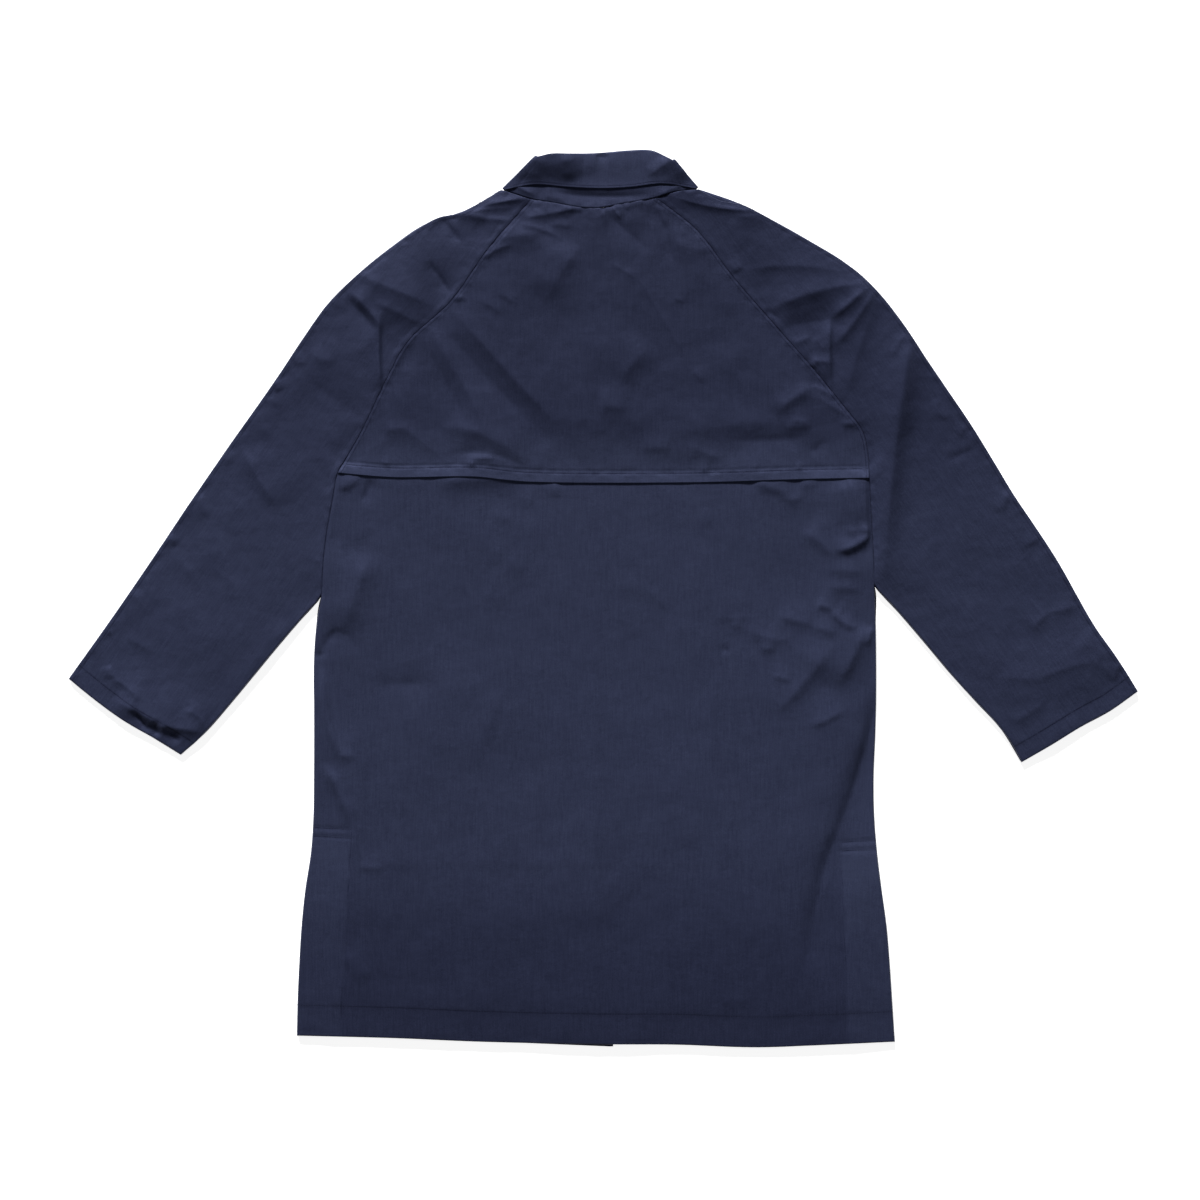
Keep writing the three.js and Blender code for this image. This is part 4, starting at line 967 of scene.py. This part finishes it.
# The scale of each noise, and its detail.
NOISES = {
    "yarn": (420.0, 1.0), "streaks": (620.0, 2.0), "speckle": (900.0, 2.0), "mottling": (34.0, 3.0),
    "patches": (170.0, 2.0), "crumple": (120.0, 2.0), "twist": (2600.0, 1.0),
}
TWILL_SLOPE = math.radians(63)
SLEEVE_GRAIN = math.radians(35)
RIB, WEFT = 0.55 * MM, 0.7      # from rib to rib, and from weft to weft as a share of it
WEFT_DEPTH = 0.18               # how far the weft breaks a rib, as a share of its height
YARN_WANDER = 2.4               # how far uneven yarns push the ribs aside, in radians of their wave
ROW_WIDTH = 0.65 * MM
TWILL_HEIGHT, LINE_HEIGHT, CRUMPLE_HEIGHT = 0.06 * MM, 0.14 * MM, 0.3 * MM
TWIST_HEIGHT = 0.1 * MM
TONE_SHARES = {"streaks": 0.34, "speckle": 0.5, "mottling": 0.16}
SEWN_DEPTH = {"row": 0.55, "seam": 0.9}
PATCHINESS = (2.4, -0.55)       # the gain and shift of the noise that makes rows and seams uneven
# Painted shade in the grooves of seams and rows: the seams' share of it, and how far it darkens the tone.
SEAM_SHADE, LINE_SHADE = 0.6, 0.5
# The cloth is darker within a little of its edges: by how much, and how far in.
EDGE_DARKENING, EDGE_DARKENING_REACH = -0.08, 1.4 * MM
ROUGHNESS, WEAR_GLOSS = 0.64, 0.12


def calc(tree, operation, *values):
    """A math node's output."""
    made = tree.nodes.new("ShaderNodeMath")
    made.operation = operation
    for socket, value in zip(made.inputs, values):
        if isinstance(value, bpy.types.NodeSocket):
            tree.links.new(value, socket)
        else:
            socket.default_value = value
    return made.outputs[0]


def noise_at(tree, where, name):
    """The value of one of the noises at each place."""
    scale, detail = NOISES[name]
    inputs = {"Vector": where, "Scale": scale, "Detail": detail}
    return add_node(tree, "ShaderNodeTexNoise", inputs).outputs[0]


def shader_group(name, inputs, outputs):
    """An empty shader group and its ends: inputs and outputs are names with their kinds."""
    tree = bpy.data.node_groups.new(name, "ShaderNodeTree")
    for direction, sockets in (("INPUT", inputs), ("OUTPUT", outputs)):
        for label, kind in sockets:
            tree.interface.new_socket(label, in_out=direction, socket_type="NodeSocket" + kind)
    return tree, tree.nodes.new("NodeGroupInput").outputs, tree.nodes.new("NodeGroupOutput").inputs


def gabardine_weave():
    """Steep twill ribs, broken by the weft, with yarns of uneven thickness."""
    tree, given, out = shader_group("gabardine weave", (("Vector", "Vector"), ("Rib", "Float")),
                                    (("Height", "Float"),))
    x, y, _ = add_node(tree, "ShaderNodeSeparateXYZ", {0: given["Vector"]}).outputs
    across = calc(tree, "SUBTRACT", calc(tree, "MULTIPLY", x, math.sin(TWILL_SLOPE)),
                  calc(tree, "MULTIPLY", y, math.cos(TWILL_SLOPE)))
    yarn = noise_at(tree, given["Vector"], "yarn")
    turns = calc(tree, "DIVIDE", calc(tree, "MULTIPLY", across, 2 * math.pi), given["Rib"])
    wander = calc(tree, "MULTIPLY_ADD", yarn, YARN_WANDER, turns)
    rib = calc(tree, "MULTIPLY_ADD", calc(tree, "SINE", wander), 0.5, 0.5)
    weft_step = calc(tree, "MULTIPLY", given["Rib"], WEFT)
    weft = calc(tree, "SINE", calc(tree, "DIVIDE", calc(tree, "MULTIPLY", y, 2 * math.pi), weft_step))
    broken = calc(tree, "MULTIPLY_ADD", weft, WEFT_DEPTH, 1 - WEFT_DEPTH)
    tree.links.new(calc(tree, "MULTIPLY", rib, broken), out["Height"])
    return tree


def cloth_tone():
    """How the cloth's colour varies: streaks along the grain, a fine speckle and soft mottling."""
    tree, given, out = shader_group("cloth tone", (("Vector", "Vector"),),
                                    (("Tone", "Float"), ("Wear", "Float")))
    along = add_node(tree, "ShaderNodeMapping", {"Vector": given["Vector"], "Scale": (1.0, 0.07, 1.0)})
    streaks = noise_at(tree, along.outputs[0], "streaks")
    speckle = noise_at(tree, given["Vector"], "speckle")
    mottling = noise_at(tree, given["Vector"], "mottling")
    tone = calc(tree, "MULTIPLY", streaks, TONE_SHARES["streaks"])
    tone = calc(tree, "MULTIPLY_ADD", speckle, TONE_SHARES["speckle"], tone)
    tone = calc(tree, "MULTIPLY_ADD", mottling, TONE_SHARES["mottling"], tone)
    tree.links.new(tone, out["Tone"])
    tree.links.new(mottling, out["Wear"])
    return tree


def sewn_lines():
    """Where the cloth is drawn in along two rows of stitches and into its seams: the grooves' height, and
    the painted shade in them.
    """
    distances = (("Row A", "Float"), ("Row B", "Float"), ("Seam", "Float"), ("Width", "Float"))
    tree, given, out = shader_group("sewn lines", (("Vector", "Vector"), *distances),
                                    (("Height", "Float"), ("Shade", "Float")))

    def groove(label):
        share = calc(tree, "DIVIDE", given[label], given["Width"])
        return calc(tree, "EXPONENT", calc(tree, "MULTIPLY", calc(tree, "MULTIPLY", share, share), -1.0))

    patchy = calc(tree, "MULTIPLY_ADD", noise_at(tree, given["Vector"], "patches"), *PATCHINESS)
    rows = calc(tree, "MULTIPLY", calc(tree, "MAXIMUM", groove("Row A"), groove("Row B")), patchy)
    seam = calc(tree, "MULTIPLY", groove("Seam"), patchy)
    rows_height = calc(tree, "MULTIPLY", rows, -SEWN_DEPTH["row"])
    tree.links.new(calc(tree, "MULTIPLY_ADD", seam, -SEWN_DEPTH["seam"], rows_height), out["Height"])
    tree.links.new(calc(tree, "MAXIMUM", rows, calc(tree, "MULTIPLY", seam, SEAM_SHADE)), out["Shade"])
    return tree


def plain_material(name, colour, roughness, finish):
    """A material of one colour and finish, with its nodes and its shader."""
    material = bpy.data.materials.new(name)
    material.use_nodes = True
    shader = material.node_tree.nodes["Principled BSDF"]
    for label, value in {"Base Color": colour, "Roughness": roughness, **finish}.items():
        shader.inputs[label].default_value = value
    return material, material.node_tree, shader


def gabardine(name, grain, groups):
    """Navy cotton gabardine, with its grain turned by an angle from Y."""
    material, tree, shader = plain_material(name, NAVY, 0.82, CLOTH_FINISH)
    where = add_node(tree, "ShaderNodeTexCoord").outputs["Object"]
    turned = add_node(tree, "ShaderNodeMapping", {"Vector": where, "Rotation": (0, 0, grain)}).outputs[0]

    def group(tree_used, inputs):
        return add_node(tree, "ShaderNodeGroup", inputs, node_tree=tree_used).outputs

    def mark(label):
        return add_node(tree, "ShaderNodeAttribute", attribute_name=label).outputs["Fac"]

    tone = group(groups["tone"], {"Vector": turned})
    weave = group(groups["weave"], {"Vector": turned, "Rib": RIB})
    lines = group(groups["lines"], {"Vector": where, "Row A": mark("row_a"), "Row B": mark("row_b"),
                                    "Seam": mark("seam"), "Width": ROW_WIDTH})
    # Darker within a little of the edges.
    near_edge = calc(tree, "EXPONENT", calc(tree, "DIVIDE", mark("edge"), -EDGE_DARKENING_REACH))
    darker_at_edge = calc(tree, "MULTIPLY", near_edge, EDGE_DARKENING)
    # The tone is shifted by the painted light and shade that the points carry.
    level = calc(tree, "ADD", calc(tree, "ADD", tone["Tone"], darker_at_edge), mark("painted_light_shade"))
    # Painted shade along the seams and the rows of stitches.
    level = calc(tree, "SUBTRACT", level, calc(tree, "MULTIPLY", lines["Shade"], LINE_SHADE))
    colours = add_node(tree, "ShaderNodeValToRGB", {"Fac": level})
    stops = colours.color_ramp.elements
    stops[0].position, stops[0].color = 0.22, NAVY_DARK
    stops[1].position, stops[1].color = 0.78, NAVY_LIGHT
    stops.new(0.5).color = NAVY
    tree.links.new(colours.outputs[0], shader.inputs["Base Color"])
    roughness = calc(tree, "MULTIPLY_ADD", tone["Wear"], -WEAR_GLOSS, ROUGHNESS)
    tree.links.new(roughness, shader.inputs["Roughness"])
    height = calc(tree, "MULTIPLY", weave["Height"], TWILL_HEIGHT)
    height = calc(tree, "MULTIPLY_ADD", lines["Height"], LINE_HEIGHT, height)
    height = calc(tree, "MULTIPLY_ADD", noise_at(tree, where, "crumple"), CRUMPLE_HEIGHT, height)
    bump = add_node(tree, "ShaderNodeBump", {"Height": height, "Distance": 1.0, "Strength": 1.0})
    tree.links.new(bump.outputs[0], shader.inputs["Normal"])
    return material


def thread_material():
    material, tree, shader = plain_material("navy thread", THREAD_NAVY, 0.85, THREAD_FINISH)
    where = add_node(tree, "ShaderNodeTexCoord").outputs["Object"]
    twist = calc(tree, "MULTIPLY", noise_at(tree, where, "twist"), TWIST_HEIGHT)
    bump = add_node(tree, "ShaderNodeBump", {"Height": twist, "Distance": 1.0})
    tree.links.new(bump.outputs[0], shader.inputs["Normal"])
    return material


# ---------------------------------------------------------------- the coat

groups = {"weave": gabardine_weave(), "tone": cloth_tone(), "lines": sewn_lines()}
body_cloth = gabardine("gabardine body", 0.0, groups)
collar_cloth = gabardine("gabardine collar", 0.0, groups)
sleeve_cloth = {"left": gabardine("gabardine left sleeve", SLEEVE_GRAIN, groups),
                "right": gabardine("gabardine right sleeve", -SLEEVE_GRAIN, groups)}

pieces = {"back": make_back(body_cloth), "stand": make_stand(collar_cloth)}
pieces["leaf"] = make_leaf(collar_cloth, pieces["stand"][1])
pieces["flap"] = make_flap(body_cloth, {name: piece for name, (_, piece) in pieces.items()})
body_pieces = [pieces["flap"][1], pieces["back"][1]]
for side in ("left", "right"):
    pieces[f"sleeve_back_{side}"] = make_back_sleeve(side, sleeve_cloth[side], body_pieces)
    pieces[f"sleeve_front_{side}"] = make_front_sleeve(side, sleeve_cloth[side])
    pieces[f"front_{side}"] = make_front(side, body_cloth)
NODES = {"flap": "back_flap", "stand": "collar_stand", "leaf": "collar_leaf"}

# ---------------------------------------------------------------- the floor, the lights and the camera

FLOOR_HALF, FLOOR_LEVEL = 3.0, -0.2 * MM
FLOOR_CORNERS = ((-1, -1), (1, -1), (1, 1), (-1, 1))
KEY = {"towards": (0.21, -0.92, -0.35), "strength": 7.6, "softness": 9}
ABOVE = {"place": (0, -0.2, 1.5), "target": (0, -0.2, 0), "size": 0.6, "power": 1.6}
WORLD_STRENGTH = 0.08
CAMERA_PLACE = (-3.8 * MM, -1.5 * MM, 3.26)
LENS, SENSOR_WIDTH = 85, 36     # in millimetres


def shining(name, lamp, direction):
    """A light that shines in a direction."""
    light = placed(name, lamp)
    light.rotation_euler = Vector(direction).to_track_quat("-Z", "Y").to_euler()
    return light


def area_light(name, place, target, size, power):
    lamp = bpy.data.lights.new(name, "AREA")
    lamp.shape = "DISK"
    lamp.size = size
    lamp.energy = power
    light = shining(name, lamp, Vector(target) - Vector(place))
    light.location = place
    light.visible_camera = False


def sun_light(name, towards, strength, softness):
    lamp = bpy.data.lights.new(name, "SUN")
    lamp.energy = strength
    lamp.angle = math.radians(softness)
    shining(name, lamp, towards)


floor_mesh = bpy.data.meshes.new("floor")
corners = [(x * FLOOR_HALF, y * FLOOR_HALF, FLOOR_LEVEL) for x, y in FLOOR_CORNERS]
floor_mesh.from_pydata(corners, [], [(0, 1, 2, 3)])
floor = placed("floor", floor_mesh)
floor_mesh.materials.append(plain_material("white paper", PAPER_WHITE, 0.95, PAPER_FINISH)[0])

world = bpy.data.worlds.new("studio")
world.use_nodes = True
world.node_tree.nodes["Background"].inputs["Color"].default_value = (1, 1, 1, 1)
world.node_tree.nodes["Background"].inputs["Strength"].default_value = WORLD_STRENGTH
bpy.context.scene.world = world
# A low light from beyond the collar, a little from the left, and a weak one from above.
sun_light("key", **KEY)
area_light("above", **ABOVE)

camera = placed("camera", bpy.data.cameras.new("camera"))
camera.data.lens = LENS
camera.data.sensor_width = SENSOR_WIDTH
camera.location = CAMERA_PLACE
bpy.context.scene.camera = camera
bpy.context.scene.view_settings.view_transform = "Standard"

# ---------------------------------------------------------------- the stitches

thread = thread_material()
stitches = stitch_tree()
back, flap, leaf = (pieces[name][0] for name in ("back", "flap", "leaf"))
sewing = {
    "back": [offset_line(back.border("bottom"), HEM), *(path(*row) for row in TACKS)],
    "flap": [offset_line(flap.border("bottom"), FLAP_HEM), offset_line(flap.border("left"), SEAM_STITCH),
             offset_line(flap.border("right"), -SEAM_STITCH)],
    "leaf": [offset_line(leaf.border("bottom"), COLLAR_STITCH)],
}
for side, centre, inwards in (("left", "right", -FLY), ("right", "left", FLY)):
    for sleeve in (f"sleeve_back_{side}", f"sleeve_front_{side}"):
        sewing[sleeve] = [offset_line(pieces[sleeve][0].border("bottom"), CUFF)]
    front = pieces[f"front_{side}"][0]
    sewing[f"front_{side}"] = [offset_line(front.border("bottom"), HEM),
                               offset_line(front.border(centre), inwards)]

sewn_pieces = {}
for name, lines in sewing.items():
    sheet, piece = pieces[name]
    runs = [run for line in lines for run in on_cloth(evenly(line, LINE_STEP), piece, sheet.up)]
    sewn_pieces[name] = sew(f"stitches_{name}", runs, stitches, thread)

# ---------------------------------------------------------------- how the pieces belong to the coat

for name, (_, piece) in pieces.items():
    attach(piece, "root")
    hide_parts(NODES.get(name, name))

for piece in sewn_pieces.values():
    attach(piece, "root")
